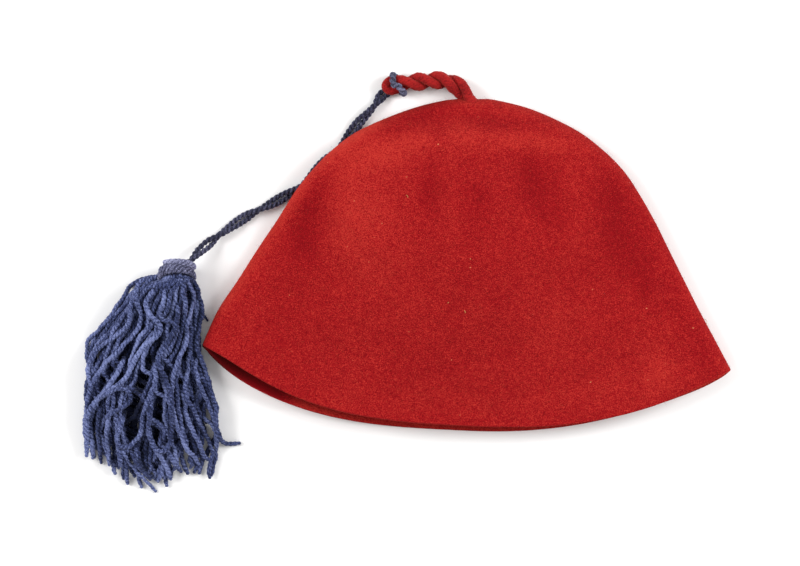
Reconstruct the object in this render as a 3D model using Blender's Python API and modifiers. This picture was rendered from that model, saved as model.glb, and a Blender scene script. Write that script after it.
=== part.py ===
"""Soft felt fez with a twisted crown loop, a free cord and a yarn tassel, lying on its side.

The cap is a moulded felt dome, pressed nearly flat. It lies on one wall with its crown towards +Y and
its open mouth towards -Y. The floor is z = 0, and the origin is under the middle of the cap and loop.
Sizes are in metres.
"""
import math
from collections import namedtuple

import bmesh
import bpy
import numpy as np
from mathutils import Vector

GAP = 0.0003                # between pieces that touch

# Felt cap
LEFT_REACH = 0.1415         # crown tip to the left rim corner, across
RIGHT_REACH = 0.1297        # crown tip to the right rim corner, across
LEFT_DROP = 0.1261          # crown tip to the left rim corner, down
RIGHT_DROP = 0.1389         # crown tip to the right rim corner, down
UPPER_BOW = 0.0349          # the upper rim's bow below its corners
LOWER_BOW = 0.0372          # the bow of the rim that lies on the floor
FELT = 0.0020               # wall
SIDE_FOLD = 0.0055          # outer radius of the fold round the pressed edge
LOFT = 0.0220               # rise of the upper wall above the folds
MOUTH_LOFT = 0.0055         # what is left of that rise at the mouth

# Crown loop, two plies of thick wool yarn twisted together
PLY_DIAMETER = 0.0054
PLY_OFFSET = 0.0020         # each ply's middle from the rope's middle
PLY_PITCH = 0.0235          # length of one full turn of the plies
LOOP_ROOT = 0.0056          # the loop's root from the crown tip, to the left
LOOP_RUN = 0.0436           # root to the tip of the folded end, to the left
LOOP_RISE = 0.0098          # crown tip to the rope's middle, up the outline

# Cord, two yarn strands laid together, and its hitch over the loop
STRAND = 0.0030
CORD_DIAMETER = 2 * STRAND
HITCH_SLANT = 0.0060        # how far the hitch drifts along the rope
HITCH_FROM_TIP = 0.0085     # the hitch's middle from the loop's tip, along the rope
CORD_RIDE_REACH = 0.0150    # how far the felt's lift over the cord spreads

# Tassel
HEAD_RADIUS = 0.0101        # outside of the binding
WRAP = 0.0026               # thickness and pitch of the wound strand
WRAPS = 3
HEAD_DOME = 0.0043          # height of the dome above the binding
ENTRY_SIDE = 0.0075         # the cord's end from the head's middle, to the right
ENTRY_DEPTH = 0.0004        # the cord's end below the top of the dome
SKIRT_LENGTH = 0.1059       # under side of the binding to the longest end
TASSEL_WIDTH = 0.0697
TASSEL_THICK = 0.0250
DOME_INSET = 0.0006         # the dome's edge inside the binding's
LOCK_RADIUS = 0.0052
LOCKS = 16
LOCK_SET_IN = 0.008         # the locks' roots below the skirt's top, a share of SKIRT_LENGTH
LAYER_STEP = 0.075          # how much sooner the upper locks end, a share of SKIRT_LENGTH
LOCK_ROOT = 0.42            # a lock's thickness at its root and its tip, shares of LOCK_RADIUS
LOCK_TIP = 0.34

# The loop's middle line from its root to its folded end: shares of its run and rise
Bend = namedtuple("Bend", "out up")
LOOP_LINE = (
    Bend(0.000, 0.00), Bend(0.000, 0.37), Bend(0.018, 0.68), Bend(0.082, 0.92), Bend(0.200, 1.00),
    Bend(0.353, 0.94), Bend(0.518, 0.89), Bend(0.682, 0.86), Bend(0.824, 0.73), Bend(1.000, 0.52),
)

# The cap's outline on each side, from the crown tip to the rim corner: shares of its reach and drop
Side = namedtuple("Side", "out down")
LEFT_SIDE = (
    Side(0.112, 0.004), Side(0.257, 0.045), Side(0.428, 0.126), Side(0.529, 0.207), Side(0.601, 0.289),
    Side(0.659, 0.370), Side(0.728, 0.492), Side(0.801, 0.614), Side(0.870, 0.736), Side(0.942, 0.858),
    Side(1.000, 1.000),
)
RIGHT_SIDE = (
    Side(0.071, 0.004), Side(0.221, 0.041), Side(0.387, 0.114), Side(0.494, 0.188), Side(0.573, 0.262),
    Side(0.628, 0.336), Side(0.696, 0.446), Side(0.755, 0.557), Side(0.814, 0.668), Side(0.874, 0.779),
    Side(0.937, 0.889), Side(1.000, 1.000),
)

# Rims: how square each rim's bow is towards its left and right corner (2 is a plain parabola)
Rim = namedtuple("Rim", "bow left right")
UPPER_RIM = Rim(UPPER_BOW, 2.8, 2.4)
LOWER_RIM = Rim(LOWER_BOW, 3.4, 2.15)

# Dents of the upper wall: place and spread as shares of the cap's width and length, depth as a share of
# LOFT. A negative depth is a ridge.
Dent = namedtuple("Dent", "across down wide long deep")
DENTS = (
    Dent(-0.091, 0.270, 0.026, 0.090, 0.11),
    Dent(0.105, 0.250, 0.048, 0.110, 0.20),
    Dent(0.005, 0.290, 0.028, 0.090, 0.05),
    Dent(-0.020, 0.120, 0.170, 0.036, -0.10),
    Dent(-0.060, 0.050, 0.110, 0.030, 0.07),
    Dent(-0.215, 0.350, 0.060, 0.150, -0.08),
    Dent(-0.320, 0.370, 0.036, 0.130, 0.07),
    Dent(0.280, 0.430, 0.050, 0.150, 0.08),
    Dent(0.380, 0.700, 0.070, 0.090, -0.05),
)

# The skirt of the tassel: place below the binding as a share of SKIRT_LENGTH, edges from the head's
# middle as shares of TASSEL_WIDTH, height above the floor as a share of TASSEL_THICK
Skirt = namedtuple("Skirt", "down left right high")
SKIRT = (
    Skirt(0.000, 0.235, 0.137, 0.81), Skirt(0.046, 0.370, 0.141, 0.84), Skirt(0.104, 0.451, 0.165, 0.88),
    Skirt(0.181, 0.517, 0.172, 0.93), Skirt(0.262, 0.635, 0.166, 0.97), Skirt(0.335, 0.675, 0.170, 1.00),
    Skirt(0.445, 0.679, 0.228, 1.00), Skirt(0.566, 0.686, 0.264, 0.94), Skirt(0.700, 0.690, 0.299, 0.83),
    Skirt(0.815, 0.671, 0.307, 0.66), Skirt(1.000, 0.568, 0.255, 0.36),
)

# Where the locks end: place between the skirt's edges, and how far down, a share of SKIRT_LENGTH
End = namedtuple("End", "across down")
LOCK_ENDS = (
    End(0.00, 0.855), End(0.10, 0.867), End(0.20, 0.900), End(0.31, 0.973), End(0.44, 0.959),
    End(0.55, 1.000), End(0.66, 0.950), End(0.76, 0.940), End(0.86, 0.905), End(0.94, 0.940),
    End(1.00, 0.811),
)

# The bulge of yarn beside the binding on the left: out from the head's middle and down from the
# binding's under side as shares of HEAD_RADIUS, thickness as a share of LOCK_RADIUS
Bulge = namedtuple("Bulge", "out down thick")
SHOULDER = (
    Bulge(0.96, 0.35, 0.40), Bulge(1.42, 0.02, 0.50), Bulge(1.75, -0.07, 0.52), Bulge(2.10, 0.24, 0.50),
    Bulge(2.40, 0.74, 0.40),
)

# The cord's middle line from the loop's folded end to the tassel's head, and the stretch of it that
# the cap's left edge rides over
CORD_ROUTE = (
    (-0.0436, 0.0794, 0.0031), (-0.0464, 0.0755, 0.0031), (-0.0489, 0.0722, 0.0031),
    (-0.0520, 0.0691, 0.0031), (-0.0548, 0.0661, 0.0031), (-0.0577, 0.0625, 0.0031),
    (-0.0605, 0.0586, 0.0031), (-0.0638, 0.0543, 0.0031), (-0.0679, 0.0502, 0.0031),
    (-0.0733, 0.0450, 0.0031), (-0.0779, 0.0399, 0.0031), (-0.0820, 0.0356, 0.0031),
    (-0.0861, 0.0322, 0.0031), (-0.0905, 0.0295, 0.0031), (-0.0951, 0.0269, 0.0031),
    (-0.1002, 0.0240, 0.0031), (-0.1053, 0.0215, 0.0031), (-0.1107, 0.0187, 0.0031),
    (-0.1156, 0.0158, 0.0031), (-0.1205, 0.0125, 0.0031), (-0.1251, 0.0092, 0.0034),
    (-0.1297, 0.0056, 0.0044), (-0.1335, 0.0025, 0.0059), (-0.1371, -0.0008, 0.0075),
    (-0.1407, -0.0047, 0.0088),
)
CORD_HIDDEN = slice(7, 13)

# Mesh density
CAP_ROWS = 22
CAP_COLUMNS = 26
ROW_SPREAD = 1.5            # rows crowd towards the crown
CURVE_SPAN = 12
DENSE = 2400                # samples of a line that distances are measured to
OVAL_SIDES = 20
RINGS_A_TURN = 16

ROPE_RADIUS = PLY_OFFSET + PLY_DIAMETER / 2
CAP_WIDTH = LEFT_REACH + RIGHT_REACH
MIDDLE_DROP = (LEFT_DROP + RIGHT_DROP) / 2
CAP_LENGTH = MIDDLE_DROP + LOWER_BOW
LOOP_TOP = LOOP_RISE + ROPE_RADIUS
CROWN = Vector(((LEFT_REACH - RIGHT_REACH) / 2, (CAP_LENGTH - LOOP_TOP) / 2))
NECK_RADIUS = HEAD_RADIUS - WRAP - GAP
HEAD_X = CORD_ROUTE[-1][0] - ENTRY_SIDE
HEAD_TOP = CORD_ROUTE[-1][1] + ENTRY_DEPTH
HEAD_Z = HEAD_RADIUS + GAP
BINDING_TOP = HEAD_TOP - HEAD_DOME
BINDING_LENGTH = WRAPS * WRAP
SKIRT_TOP = BINDING_TOP - BINDING_LENGTH - GAP


def smooth_curve(points, span=CURVE_SPAN):
    """Points on a Catmull-Rom curve through the given points."""
    points = np.array(points, dtype=float)
    ends = np.vstack([2 * points[0] - points[1], points, 2 * points[-1] - points[-2]])
    s = np.linspace(0.0, 1.0, span, endpoint=False)[:, None]
    spans = []
    for a, b, c, d in zip(ends, ends[1:], ends[2:], ends[3:]):
        bend = (2 * a - 5 * b + 4 * c - d) * s ** 2 + (3 * b - a - 3 * c + d) * s ** 3
        spans.append(b + 0.5 * ((c - a) * s + bend))
    return np.vstack(spans + [points[-1:]])


def along(curve, shares):
    """Points at the given shares of a curve's length."""
    steps = np.linalg.norm(np.diff(curve, axis=0), axis=1)
    run = np.concatenate([[0.0], np.cumsum(steps)])
    places = np.asarray(shares) * run[-1]
    return np.column_stack([np.interp(places, run, axis) for axis in curve.T])


def length_of(curve):
    """A curve's length."""
    return float(np.linalg.norm(np.diff(curve, axis=0), axis=1).sum())


def smooth_step(x):
    """0 to 1 with level ends."""
    x = np.clip(x, 0.0, 1.0)
    return x * x * (3 - 2 * x)


def column(rows, name):
    """One named column of a table."""
    return np.array([getattr(row, name) for row in rows])


def make_material(name, colour, roughness):
    """A plain wool material."""
    material = bpy.data.materials.new(name)
    material.use_nodes = True
    shader = material.node_tree.nodes["Principled BSDF"]
    shader.inputs["Base Color"].default_value = (*colour, 1.0)
    shader.inputs["Roughness"].default_value = roughness
    shader.inputs["Metallic"].default_value = 0.0
    return material


def add_object(name, data, material, collection):
    """A new object in the collection, with its material."""
    made = bpy.data.objects.new(name, data)
    collection.objects.link(made)
    data.materials.append(material)
    return made


def mesh_from(name, points, faces):
    """A mesh from points and faces, shaded smooth with its sharp edges kept."""
    mesh = bpy.data.meshes.new(name)
    mesh.from_pydata([tuple(point) for point in points], [], faces)
    mesh.shade_smooth()
    mesh.set_sharp_from_angle(angle=math.radians(50))
    return mesh


def loft(name, rings):
    """A closed mesh through rings of equal count, with a flat face on each end."""
    sides = len(rings[0])
    points = np.vstack(rings)
    faces = [tuple(range(sides))[::-1]]
    for row in range(len(rings) - 1):
        for side in range(sides):
            here = row * sides + side
            beside = row * sides + (side + 1) % sides
            faces.append((here, beside, beside + sides, here + sides))
    last = (len(rings) - 1) * sides
    faces.append(tuple(range(last, last + sides)))
    return mesh_from(name, points, faces)


def tube(name, points, radius, material, collection, shares=None, resolution=2):
    """A round tube along the points. shares thin it from point to point."""
    curve = bpy.data.curves.new(name, "CURVE")
    curve.dimensions = "3D"
    curve.bevel_depth = radius
    curve.bevel_resolution = resolution
    curve.use_fill_caps = True
    spline = curve.splines.new("POLY")
    spline.points.add(len(points) - 1)
    for index, point in enumerate(points):
        spline.points[index].co = (*point, 1.0)
        spline.points[index].radius = 1.0 if shares is None else shares[index]
    return add_object(name, curve, material, collection)


def as_mesh(curve_object, collection):
    """Replaces a curve object by its mesh, with the caps welded on."""
    graph = bpy.context.evaluated_depsgraph_get()
    mesh = bpy.data.meshes.new_from_object(curve_object.evaluated_get(graph))
    cage = bmesh.new()
    cage.from_mesh(mesh)
    bmesh.ops.remove_doubles(cage, verts=cage.verts, dist=1e-6)
    bmesh.ops.recalc_face_normals(cage, faces=cage.faces)
    cage.to_mesh(mesh)
    cage.free()
    name = curve_object.name
    made = bpy.data.objects.new(name + "_mesh", mesh)
    made.matrix_world = curve_object.matrix_world
    collection.objects.link(made)
    bpy.data.objects.remove(curve_object, do_unlink=True)
    made.name = name
    return made


def cap_edges():
    """The pressed outline, and its halves from the crown tip to the left and right rim corner."""
    left = [(CROWN.x - side.out * LEFT_REACH, CROWN.y - side.down * LEFT_DROP) for side in LEFT_SIDE]
    right = [(CROWN.x + side.out * RIGHT_REACH, CROWN.y - side.down * RIGHT_DROP) for side in RIGHT_SIDE]
    outline = smooth_curve(left[::-1] + [tuple(CROWN)] + right)
    tip = len(left) * CURVE_SPAN
    return outline, outline[tip::-1], outline[tip:]


def sheet_plan(left_edge, right_edge, shares, across, rim):
    """Plan places of one wall, a row for each share from the crown to the rim."""
    left = along(left_edge, shares)[:, None, :]
    right = along(right_edge, shares)[:, None, :]
    share = shares[:, None]
    phi = across[None, :]
    chord = left + (right - left) * ((phi[..., None] + 1) / 2)
    middle = CROWN.y - share * (MIDDLE_DROP + rim.bow)
    bow = (left[..., 1] + right[..., 1]) / 2 - middle
    corner = np.where(phi < 0, rim.left, rim.right)
    power = 2 + (corner - 2) * share ** 2
    plan = chord.copy()
    plan[..., 1] -= bow * (1 - np.abs(phi) ** power)
    return plan


def distance_to(line, plan):
    """Each plan point's distance to a dense line."""
    dense = along(line, np.linspace(0, 1, DENSE))
    flat = plan.reshape(-1, 2)
    nearest = [np.sqrt(((dense - point) ** 2).sum(axis=1)).min() for point in flat]
    return np.array(nearest).reshape(plan.shape[:-1])


def cord_lift(plan):
    """How far the felt is held up where it rides over the cord."""
    hidden = smooth_curve([place[:2] for place in CORD_ROUTE[CORD_HIDDEN]])
    return CORD_DIAMETER * np.exp(-(distance_to(hidden, plan) / CORD_RIDE_REACH) ** 2)


def loft_height(shares, across):
    """Rise of the upper wall above the folds, highest behind the crown and low at the mouth."""
    crest = 0.42
    lean = 0.30
    share = shares[:, None]
    phi = across[None, :]
    rise = np.sin(math.pi / 2 * np.clip(share / crest, 0, 1))
    fall = smooth_step((share - crest) / (1 - crest))
    height = LOFT + (MOUTH_LOFT - LOFT) * fall
    return rise * height * (1 - phi ** 2) * (1 - lean * phi * share ** 2)


def dent_depth(plan):
    """Depth of the dents of the upper wall."""
    depth = np.zeros(plan.shape[:-1])
    for dent in DENTS:
        x = (plan[..., 0] - CROWN.x) / CAP_WIDTH - dent.across
        y = (CROWN.y - plan[..., 1]) / CAP_LENGTH - dent.down
        depth += LOFT * dent.deep * np.exp(-(x / dent.wide) ** 2 - (y / dent.long) ** 2)
    return depth


def fold_rise(outline, plan):
    """How far a wall stands from the fold's middle height: nothing on the outline, level inside it."""
    inward = np.minimum(distance_to(outline, plan), SIDE_FOLD)
    return np.sqrt(np.maximum(SIDE_FOLD ** 2 - (SIDE_FOLD - inward) ** 2, 0.0))


def cap_rings():
    """Rings round both walls, from the crown to the rim, and the point at the crown's tip."""
    outline, left_edge, right_edge = cap_edges()
    shares = (np.arange(1, CAP_ROWS + 1) / CAP_ROWS) ** ROW_SPREAD
    across = -np.cos(np.linspace(0, math.pi, CAP_COLUMNS + 1))
    upper = sheet_plan(left_edge, right_edge, shares, across, UPPER_RIM)
    lower = sheet_plan(left_edge, right_edge, shares, across, LOWER_RIM)
    edge_fade = np.minimum(distance_to(outline, upper) / SIDE_FOLD, 1.0)
    upper_z = SIDE_FOLD + fold_rise(outline, upper) + loft_height(shares, across) + cord_lift(upper)
    upper_z -= dent_depth(upper) * edge_fade
    lower_z = SIDE_FOLD - fold_rise(outline, lower) + cord_lift(lower)
    rings = []
    for row in range(CAP_ROWS):
        over = np.column_stack([upper[row], upper_z[row]])
        under = np.column_stack([lower[row], lower_z[row]])[-2:0:-1]
        rings.append(np.vstack([over, under]))
    tip_lift = float(cord_lift(np.array([tuple(CROWN)]))[0])
    return rings, (CROWN.x, CROWN.y, SIDE_FOLD + tip_lift)


def make_felt_cap(material, collection):
    """The cap: two pressed walls that run into each other round the outline, open at the mouth."""
    rings, tip = cap_rings()
    sides = len(rings[0])
    points = np.vstack([[tip]] + rings)
    faces = [(0, 1 + side, 1 + (side + 1) % sides) for side in range(sides)]
    for row in range(CAP_ROWS - 1):
        for side in range(sides):
            here = 1 + row * sides + side
            beside = 1 + row * sides + (side + 1) % sides
            faces.append((here, here + sides, beside + sides, beside))
    cap = add_object("felt_cap", mesh_from("felt_cap", points, faces), material, collection)
    wall = cap.modifiers.new("Felt wall", "SOLIDIFY")
    wall.thickness = FELT
    wall.offset = -1.0
    wall.use_even_offset = True
    return cap


def loop_line():
    """The middle line of the crown loop's rope, from its root at the fold to its folded end."""
    root = (CROWN.x - LOOP_ROOT, CROWN.y + GAP)
    z = max(ROPE_RADIUS + GAP, SIDE_FOLD)
    points = [(root[0] - bend.out * LOOP_RUN, root[1] + bend.up * LOOP_RISE, z) for bend in LOOP_LINE]
    return smooth_curve(points)


def rope_section():
    """Outline of two plies side by side."""
    ply = PLY_DIAMETER / 2
    points = []
    for turn in np.linspace(0, 2 * math.pi, 14, endpoint=False):
        reach = abs(math.cos(turn)) * PLY_OFFSET + math.sqrt(ply ** 2 - (PLY_OFFSET * math.sin(turn)) ** 2)
        points.append((reach * math.cos(turn), reach * math.sin(turn)))
    return points[::-1]


def make_crown_loop(material, collection, guides):
    """The twisted rope: the outline of its plies, swept along the loop and turned as it goes."""
    outline = bpy.data.curves.new("rope_section", "CURVE")
    outline.dimensions = "2D"
    ring = outline.splines.new("POLY")
    section = rope_section()
    ring.points.add(len(section) - 1)
    for point, (x, y) in zip(ring.points, section):
        point.co = (x, y, 0.0, 1.0)
    ring.use_cyclic_u = True
    guide = bpy.data.objects.new("rope_section", outline)
    guide.hide_render = True
    guide.display_type = "WIRE"
    guides.objects.link(guide)

    line = loop_line()
    length = length_of(line)
    count = round(length / (PLY_PITCH / RINGS_A_TURN)) + 1
    points = along(line, np.linspace(0, 1, count))
    rope = bpy.data.curves.new("crown_loop", "CURVE")
    rope.dimensions = "3D"
    rope.bevel_mode = "OBJECT"
    rope.bevel_object = guide
    rope.use_fill_caps = True
    spline = rope.splines.new("POLY")
    spline.points.add(count - 1)
    for index, point in enumerate(points):
        run = length * index / (count - 1)
        to_tip = (length - run) / ROPE_RADIUS
        rounding = math.sqrt(1 - max(0.94 - to_tip, 0) ** 2)
        spline.points[index].co = (*point, 1.0)
        spline.points[index].tilt = 2 * math.pi * run / PLY_PITCH
        spline.points[index].radius = rounding
    return add_object("crown_loop", rope, material, collection)


def make_cord_hitch(material, collection):
    """The strand that crosses over the rope near its folded end and comes down to the floor beside it."""
    line = loop_line()
    middle = along(line, [1 - HITCH_FROM_TIP / length_of(line)])[0]
    radius = ROPE_RADIUS + STRAND / 2 + GAP
    floor = math.asin((middle[2] - STRAND / 2 - GAP) / radius)
    points = []
    for share in np.linspace(0, 1, 15):
        turn = -floor + share * (math.pi + 2 * floor)
        x = middle[0] + HITCH_SLANT * (share - 0.5)
        y = middle[1] + radius * math.cos(turn)
        points.append((x, y, middle[2] + radius * math.sin(turn)))
    return tube("cord_hitch", points, STRAND / 2, material, collection)


def make_tassel_cord(material, collection):
    """The free cord on the floor, along its chosen route."""
    line = smooth_curve(CORD_ROUTE)
    count = round(length_of(line) / (2 * CORD_DIAMETER)) + 1
    points = along(line, np.linspace(0, 1, count))
    return tube("tassel_cord", points, CORD_DIAMETER / 2, material, collection)


def make_tassel_binding(material, collection):
    """The strand wound round the tassel's neck, as one turned ring with a ridge for each wrap."""
    inner = NECK_RADIUS + GAP
    profile = [(inner, BINDING_LENGTH)]
    for wrap in range(WRAPS):
        middle = BINDING_LENGTH - (wrap + 0.5) * WRAP
        for turn in (70, 25, -25, -70):
            out = HEAD_RADIUS - WRAP / 2 + WRAP / 2 * math.cos(math.radians(turn))
            profile.append((out, middle + WRAP / 2 * math.sin(math.radians(turn))))
    profile.append((inner, 0.0))
    count = len(profile)
    mesh = bpy.data.meshes.new("tassel_binding")
    edges = [(index, (index + 1) % count) for index in range(count)]
    mesh.from_pydata([(x, 0.0, z) for x, z in profile], edges, [])
    binding = add_object("tassel_binding", mesh, material, collection)
    turn = binding.modifiers.new("Turn", "SCREW")
    turn.angle = 2 * math.pi
    turn.steps = 20
    turn.render_steps = 20
    turn.use_merge_vertices = True
    turn.merge_threshold = 1e-5
    binding.rotation_euler = (math.radians(-90), 0.0, 0.0)
    binding.location = (HEAD_X, BINDING_TOP - BINDING_LENGTH, HEAD_Z)
    return binding


def skirt_at(down):
    """The skirt's left edge, right edge and height at a share of its length."""
    places = column(SKIRT, "down")
    left = HEAD_X - TASSEL_WIDTH * np.interp(down, places, column(SKIRT, "left"))
    right = HEAD_X + TASSEL_WIDTH * np.interp(down, places, column(SKIRT, "right"))
    high = TASSEL_THICK * np.interp(down, places, column(SKIRT, "high"))
    return left, right, high


def oval(x, y, z, wide, high):
    """A ring of points in a plane across the tassel."""
    turns = np.linspace(0, 2 * math.pi, OVAL_SIDES, endpoint=False)
    return np.column_stack([x + wide * np.cos(turns), np.full(OVAL_SIDES, y), z + high * np.sin(turns)])


def tassel_core():
    """The head's dome, the neck inside the binding, and the inside of the skirt."""
    rings = []
    boxy = 2.6
    for lift in (0.99, 0.90, 0.68, 0.35, 0.0):
        radius = (HEAD_RADIUS - DOME_INSET) * (1 - lift ** boxy) ** (1 / boxy)
        height = BINDING_TOP + GAP + (HEAD_DOME - GAP) * lift
        rings.append(oval(HEAD_X, height, HEAD_Z, radius, radius))
    for y in (BINDING_TOP + GAP, SKIRT_TOP):
        rings.append(oval(HEAD_X, y, HEAD_Z, NECK_RADIUS, NECK_RADIUS))
    inset = 0.45 * LOCK_RADIUS
    for skirt in SKIRT[:-1]:
        left, right, high = skirt_at(skirt.down)
        wide = (right - left) / 2 - inset
        y = SKIRT_TOP - GAP - skirt.down * SKIRT_LENGTH
        rings.append(oval((left + right) / 2, y, high / 2 + GAP, wide, high / 2 - inset))
    return loft("tassel", rings)


def lock_line(turn):
    """A lock's middle line and its thinning, for its place round the skirt."""
    across = 0.5 + 0.5 * math.cos(turn)
    end = np.interp(across, column(LOCK_ENDS, "across"), column(LOCK_ENDS, "down"))
    end -= LAYER_STEP * max(math.sin(turn), 0.0)
    swell = 2.3
    points = []
    shares = []
    for share in np.linspace(0, 1, 8):
        down = LOCK_SET_IN + share * (end - LOCK_SET_IN)
        left, right, high = skirt_at(down)
        thin = min(LOCK_ROOT + swell * share, 1.0, LOCK_TIP + swell * (1 - share))
        radius = min(LOCK_RADIUS * thin, high / 2 - GAP)
        x = (left + right) / 2 + ((right - left) / 2 - radius) * math.cos(turn)
        z = high / 2 + GAP + (high / 2 - radius) * math.sin(turn)
        points.append((x, SKIRT_TOP - GAP - down * SKIRT_LENGTH, z))
        shares.append(radius / LOCK_RADIUS)
    return points, shares


def shoulder_line():
    """The middle line and thinning of the bulge beside the binding."""
    points = [(HEAD_X - bulge.out * HEAD_RADIUS, SKIRT_TOP - bulge.down * HEAD_RADIUS, HEAD_Z)
              for bulge in SHOULDER]
    return points, [bulge.thick for bulge in SHOULDER]


def keep_outer_shell(mesh):
    """Deletes what a union leaves sealed inside: every island but the widest."""
    cage = bmesh.new()
    cage.from_mesh(mesh)
    left = set(cage.verts)
    islands = []
    while left:
        island = {left.pop()}
        front = list(island)
        while front:
            vert = front.pop()
            for edge in vert.link_edges:
                other = edge.other_vert(vert)
                if other in left:
                    left.remove(other)
                    island.add(other)
                    front.append(other)
        islands.append(island)
    islands.sort(key=lambda island: max(v.co.y for v in island) - min(v.co.y for v in island))
    inner = [vert for island in islands[:-1] for vert in island]
    bmesh.ops.delete(cage, geom=inner, context="VERTS")
    cage.to_mesh(mesh)
    cage.free()


def make_tassel(material, collection, guides):
    """The tassel's outer form: a head and a skirt core with a ring of tapering locks fused to it."""
    tassel = add_object("tassel", tassel_core(), material, collection)
    lines = [lock_line(2 * math.pi * (index + 0.5) / LOCKS) for index in range(LOCKS)]
    lines.append(shoulder_line())
    for index, (points, shares) in enumerate(lines):
        lock = tube(f"lock_{index}", points, LOCK_RADIUS, material, guides, shares)
        lock = as_mesh(lock, guides)
        lock.hide_render = True
        lock.display_type = "WIRE"
        union = tassel.modifiers.new(lock.name, "BOOLEAN")
        union.operation = "UNION"
        union.solver = "MANIFOLD"
        union.object = lock
    graph = bpy.context.evaluated_depsgraph_get()
    fused = bpy.data.meshes.new_from_object(tassel.evaluated_get(graph))
    keep_outer_shell(fused)
    tassel.modifiers.clear()
    tassel.data = fused
    return tassel


def main():
    for old in list(bpy.data.objects):
        bpy.data.objects.remove(old, do_unlink=True)
    fez = bpy.data.collections.new("fez")
    guides = bpy.data.collections.new("fez_guides")
    bpy.context.scene.collection.children.link(fez)
    bpy.context.scene.collection.children.link(guides)
    felt = make_material("red_felt", (0.397, 0.016, 0.015), 0.92)
    red_yarn = make_material("red_yarn", (0.340, 0.012, 0.014), 0.88)
    blue_yarn = make_material("blue_yarn", (0.045, 0.056, 0.145), 0.90)
    make_felt_cap(felt, fez)
    make_crown_loop(red_yarn, fez, guides)
    make_cord_hitch(blue_yarn.copy(), fez)
    make_tassel_cord(blue_yarn.copy(), fez)
    make_tassel_binding(blue_yarn.copy(), fez)
    make_tassel(blue_yarn, fez, guides)


main()
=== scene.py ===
"""Looks of the soft felt fez: fine felt, plied wool yarn, a white floor and soft light from above.

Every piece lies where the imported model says. Lengths are in metres unless a name says mm.
"""
import math
from collections import namedtuple

import bpy
import numpy as np
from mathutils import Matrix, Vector
from mathutils.kdtree import KDTree


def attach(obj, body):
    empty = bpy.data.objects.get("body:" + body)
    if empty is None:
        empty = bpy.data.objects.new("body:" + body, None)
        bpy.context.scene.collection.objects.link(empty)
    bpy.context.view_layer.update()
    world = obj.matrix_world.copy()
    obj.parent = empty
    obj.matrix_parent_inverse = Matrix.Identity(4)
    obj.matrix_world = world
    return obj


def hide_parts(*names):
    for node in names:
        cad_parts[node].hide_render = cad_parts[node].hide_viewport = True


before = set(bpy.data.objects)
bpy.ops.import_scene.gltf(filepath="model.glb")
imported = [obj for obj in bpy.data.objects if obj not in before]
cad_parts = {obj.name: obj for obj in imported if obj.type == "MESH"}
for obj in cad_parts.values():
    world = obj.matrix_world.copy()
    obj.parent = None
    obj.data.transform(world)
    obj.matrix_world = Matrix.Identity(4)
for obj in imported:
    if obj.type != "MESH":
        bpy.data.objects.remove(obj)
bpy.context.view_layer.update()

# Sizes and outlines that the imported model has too. LOOP_LINE and the upper rim's right corner follow the
# photograph a little more closely here.
GAP = 0.0003
LEFT_REACH = 0.1415
RIGHT_REACH = 0.1297
LEFT_DROP = 0.1261
RIGHT_DROP = 0.1389
UPPER_BOW = 0.0349
LOWER_BOW = 0.0372
FELT = 0.0020
SIDE_FOLD = 0.0055
LOFT = 0.0220
MOUTH_LOFT = 0.0055
ROPE_RADIUS = 0.0047
LOOP_ROOT = 0.0056
LOOP_RUN = 0.0436
LOOP_RISE = 0.0098
STRAND = 0.0030
CORD_DIAMETER = 2 * STRAND
CORD_RIDE_REACH = 0.0150
HEAD_RADIUS = 0.0101
WRAP = 0.0026
WRAPS = 3
HEAD_DOME = 0.0043
ENTRY_SIDE = 0.0075
ENTRY_DEPTH = 0.0004
SKIRT_LENGTH = 0.1059
TASSEL_WIDTH = 0.0697
TASSEL_THICK = 0.0250

Bend = namedtuple("Bend", "out up")
LOOP_LINE = (
    Bend(0.020, 0.00), Bend(0.070, 0.34), Bend(0.120, 0.62), Bend(0.195, 0.84), Bend(0.290, 0.95),
    Bend(0.400, 0.95), Bend(0.530, 0.89), Bend(0.682, 0.84), Bend(0.824, 0.73), Bend(1.000, 0.55),
)
Side = namedtuple("Side", "out down")
LEFT_SIDE = (
    Side(0.112, 0.004), Side(0.257, 0.045), Side(0.428, 0.126), Side(0.529, 0.207), Side(0.601, 0.289),
    Side(0.659, 0.370), Side(0.728, 0.492), Side(0.801, 0.614), Side(0.870, 0.736), Side(0.942, 0.858),
    Side(1.000, 1.000),
)
RIGHT_SIDE = (
    Side(0.071, 0.004), Side(0.221, 0.041), Side(0.387, 0.114), Side(0.494, 0.188), Side(0.573, 0.262),
    Side(0.628, 0.336), Side(0.696, 0.446), Side(0.755, 0.557), Side(0.814, 0.668), Side(0.874, 0.779),
    Side(0.937, 0.889), Side(1.000, 1.000),
)
Rim = namedtuple("Rim", "bow left right")
UPPER_RIM = Rim(UPPER_BOW, 2.8, 2.5)
LOWER_RIM = Rim(LOWER_BOW, 3.4, 2.15)

# Dents of the upper wall: place and spread as shares of the cap's width and length, depth as a share of
# LOFT. A negative depth is a ridge.
Dent = namedtuple("Dent", "across down wide long deep")
DENTS = (
    Dent(-0.091, 0.270, 0.026, 0.090, 0.11),
    Dent(0.105, 0.250, 0.048, 0.110, 0.20),
    Dent(0.005, 0.290, 0.028, 0.090, 0.05),
    Dent(-0.020, 0.120, 0.170, 0.036, -0.10),
    Dent(-0.060, 0.050, 0.110, 0.030, 0.07),
    Dent(-0.215, 0.350, 0.060, 0.150, -0.08),
    Dent(-0.320, 0.370, 0.036, 0.130, 0.07),
    Dent(0.280, 0.430, 0.050, 0.150, 0.08),
    Dent(0.380, 0.700, 0.070, 0.090, -0.05),
)

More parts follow.
